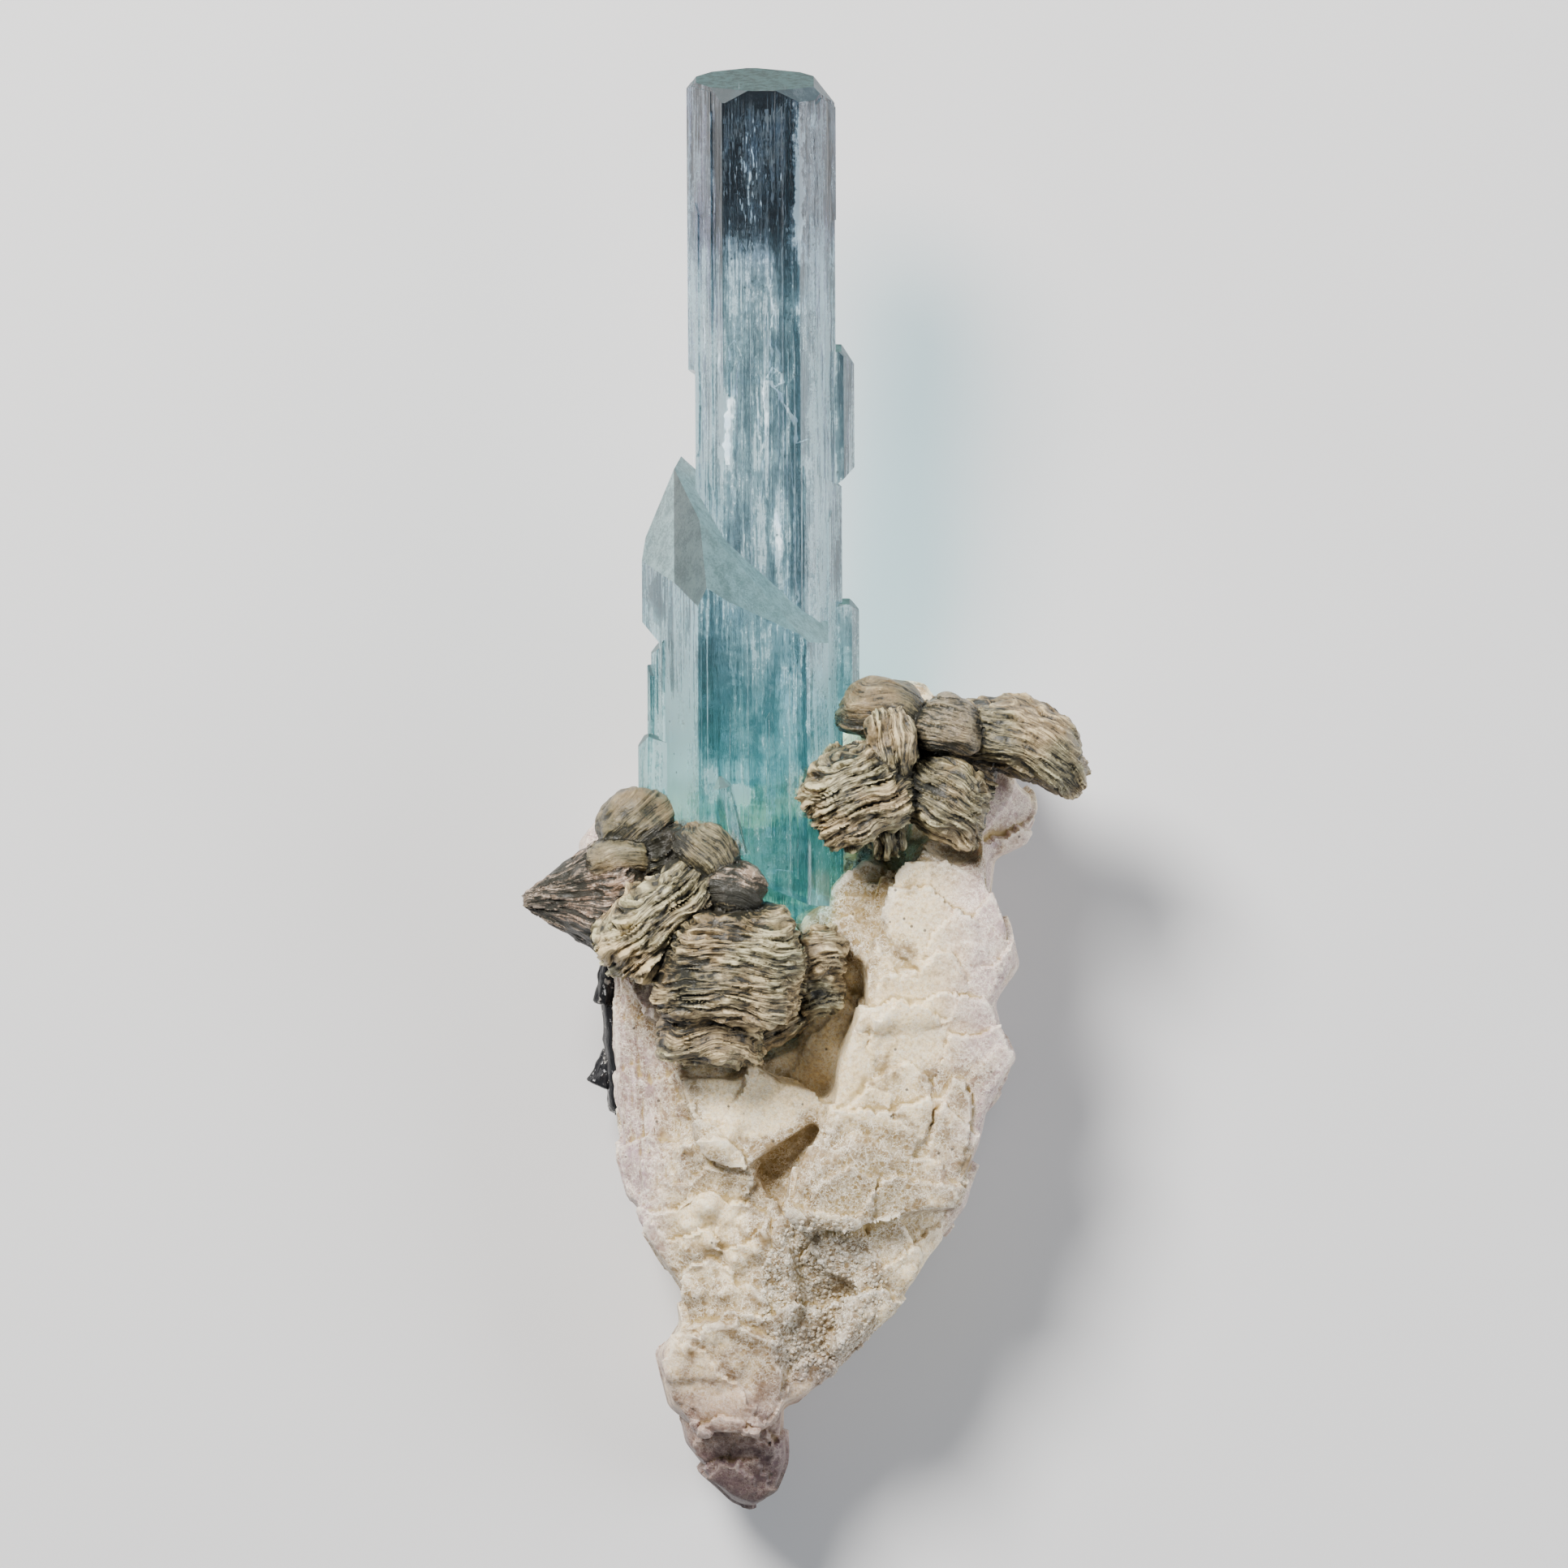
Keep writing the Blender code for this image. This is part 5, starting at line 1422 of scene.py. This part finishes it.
def fluted_rod(bm, rod, flute, seed):
    """A three-sided rounded prism with grooves along it and a low pointed end."""
    turn = math.radians(rod.heading - 90)
    basis = Matrix.Translation(rod.place) @ Matrix.Rotation(turn, 4, "Z")
    rings = [-0.9 + 1.8 * step / (ROD_RINGS - 1) for step in range(ROD_RINGS)]
    loops = []
    for level in [-1.0, -0.97] + rings + [0.97, 1.0]:
        wide = 0.55 if abs(level) == 1.0 else 0.85 if abs(level) > 0.95 else 1.0
        loop = []
        for step in range(ROD_SIDES):
            angle = 2.0 * math.pi * step / ROD_SIDES
            three = 1.0 + 0.1 * math.cos(3.0 * angle + seed)
            groove = flute * noise.noise(Vector((angle * 4.0, seed, level * 0.6)))
            chip = 0.3 * noise.noise(Vector((angle * 1.2, level * rod.half * 0.9, seed)))
            reach = rod.radius * wide * three + groove + chip
            point = Vector((reach * math.cos(angle), level * rod.half, reach * math.sin(angle)))
            loop.append(bm.verts.new(basis @ point))
        loops.append(loop)
    skin(bm, loops)


def schorl_material(settings):
    """Glossy black, finely grooved, with dust of the white rock."""
    material, tree, shader = new_material("schorl")
    place = in_millimetres(tree)
    dust = place.noise(0.9, 4.0, 0.7).between(0.6, 0.7)
    colour = dust.blend(settings.colour, ROCK_DUST)
    wire_shader(tree, shader, colour, dust * 0.5 + 0.12, streaks(place, 2.2, 0.3)["Height"], 0.7, 0.3)
    return material


class SPECIMEN_OT_schorl(bpy.types.Operator):
    """Make the small black crystal"""
    bl_idname = "specimen.schorl"
    bl_label = "Schorl"

    def execute(self, context):
        settings = context.scene.specimen_schorl
        bm = bmesh.new()
        for number, rod in enumerate(SCHORL_RODS):
            fluted_rod(bm, rod, settings.flute / MM, number * 1.7)
        bmesh.ops.recalc_face_normals(bm, faces=bm.faces)
        piece = object_from(bm, "schorl", smooth=True)
        finish_piece(piece, schorl_material(settings), ["schorl_crystal"])
        return {"FINISHED"}


# The stage

FLOOR_HALF = 3000.0
SKY_COLOUR = (0.9, 0.95, 1.0)
LIT_PLACE = (0.0, 0.0, 0.02)
KEY = SimpleNamespace(size=0.3, place=(-0.3, 0.42, 0.62), colour=(1.0, 0.97, 0.93))
FILL = SimpleNamespace(size=0.5, place=(0.55, -0.1, 0.4), colour=(0.93, 0.96, 1.0))


def area_light(name, power, lamp):
    light = bpy.data.lights.new(name, "AREA")
    light.energy = power
    light.shape = "DISK"
    light.size = lamp.size
    light.color = lamp.colour
    made = show(light, name)
    made.location = lamp.place
    made.rotation_euler = (Vector(LIT_PLACE) - Vector(lamp.place)).to_track_quat("-Z", "Y").to_euler()


def floor_material(colour):
    """Matt paper with a trace of unevenness."""
    material, tree, shader = new_material("floor")
    shade = in_millimetres(tree).noise(0.02, 2.0).between(0.2, 0.8)
    wire_shader(tree, shader, shade.blend(colour, [part * 0.97 for part in colour]), 0.8)
    return material


class SPECIMEN_OT_stage(bpy.types.Operator):
    """Make the floor, the lights and the camera"""
    bl_idname = "specimen.stage"
    bl_label = "Stage"

    def execute(self, context):
        settings = context.scene.specimen_stage
        bm = bmesh.new()
        bmesh.ops.create_grid(bm, x_segments=1, y_segments=1, size=FLOOR_HALF)
        floor = object_from(bm, "floor")
        floor.data.materials.append(floor_material(settings.floor_colour))
        world = bpy.data.worlds.new("studio")
        world.use_nodes = True
        sky = world.node_tree.nodes["Background"].inputs
        sky["Color"].default_value = opaque(SKY_COLOUR)
        sky["Strength"].default_value = settings.sky
        context.scene.world = world
        area_light("key", settings.key_power, KEY)
        area_light("fill", settings.fill_power, FILL)
        lens = bpy.data.cameras.new("camera")
        lens.sensor_width = SENSOR
        lens.lens = SENSOR * CAMERA_HEIGHT / (PICTURE * PIXEL)
        lens.clip_start = NEAREST_SEEN
        camera = show(lens, "camera")
        shift_x = (PICTURE / 2 - ORIGIN_PIXEL[0]) * PIXEL
        shift_y = (ORIGIN_PIXEL[1] - PICTURE / 2) * PIXEL
        camera.location = (shift_x, shift_y, MIDDLE_HEIGHT + CAMERA_HEIGHT)
        context.scene.camera = camera
        return {"FINISHED"}


GROUPS = {
    "specimen_crystal": SPECIMEN_PG_crystal,
    "specimen_mica": SPECIMEN_PG_mica,
    "specimen_albite": SPECIMEN_PG_albite,
    "specimen_schorl": SPECIMEN_PG_schorl,
    "specimen_stage": SPECIMEN_PG_stage,
}
OPERATORS = (
    SPECIMEN_OT_stage,
    SPECIMEN_OT_crystal,
    SPECIMEN_OT_inclusions,
    SPECIMEN_OT_mica,
    SPECIMEN_OT_albite,
    SPECIMEN_OT_schorl,
)


class SPECIMEN_PT_panel(bpy.types.Panel):
    """Lists what the add-on makes"""
    bl_idname = "SPECIMEN_PT_panel"
    bl_label = "Aquamarine specimen"
    bl_space_type = "VIEW_3D"
    bl_region_type = "UI"
    bl_category = "Specimen"

    def draw(self, context):
        for operator in OPERATORS:
            self.layout.operator(operator.bl_idname)


def register():
    for name, group in GROUPS.items():
        bpy.utils.register_class(group)
        setattr(bpy.types.Scene, name, bpy.props.PointerProperty(type=group))
    for operator in OPERATORS:
        bpy.utils.register_class(operator)
    bpy.utils.register_class(SPECIMEN_PT_panel)


def unregister():
    bpy.utils.unregister_class(SPECIMEN_PT_panel)
    for operator in reversed(OPERATORS):
        bpy.utils.unregister_class(operator)
    for name, group in GROUPS.items():
        delattr(bpy.types.Scene, name)
        bpy.utils.unregister_class(group)


def main():
    register()
    bpy.ops.specimen.stage()
    bpy.ops.specimen.crystal()
    bpy.ops.specimen.inclusions()
    bpy.ops.specimen.mica()
    bpy.ops.specimen.albite()
    bpy.ops.specimen.schorl()


if __name__ == "__main__":
    main()
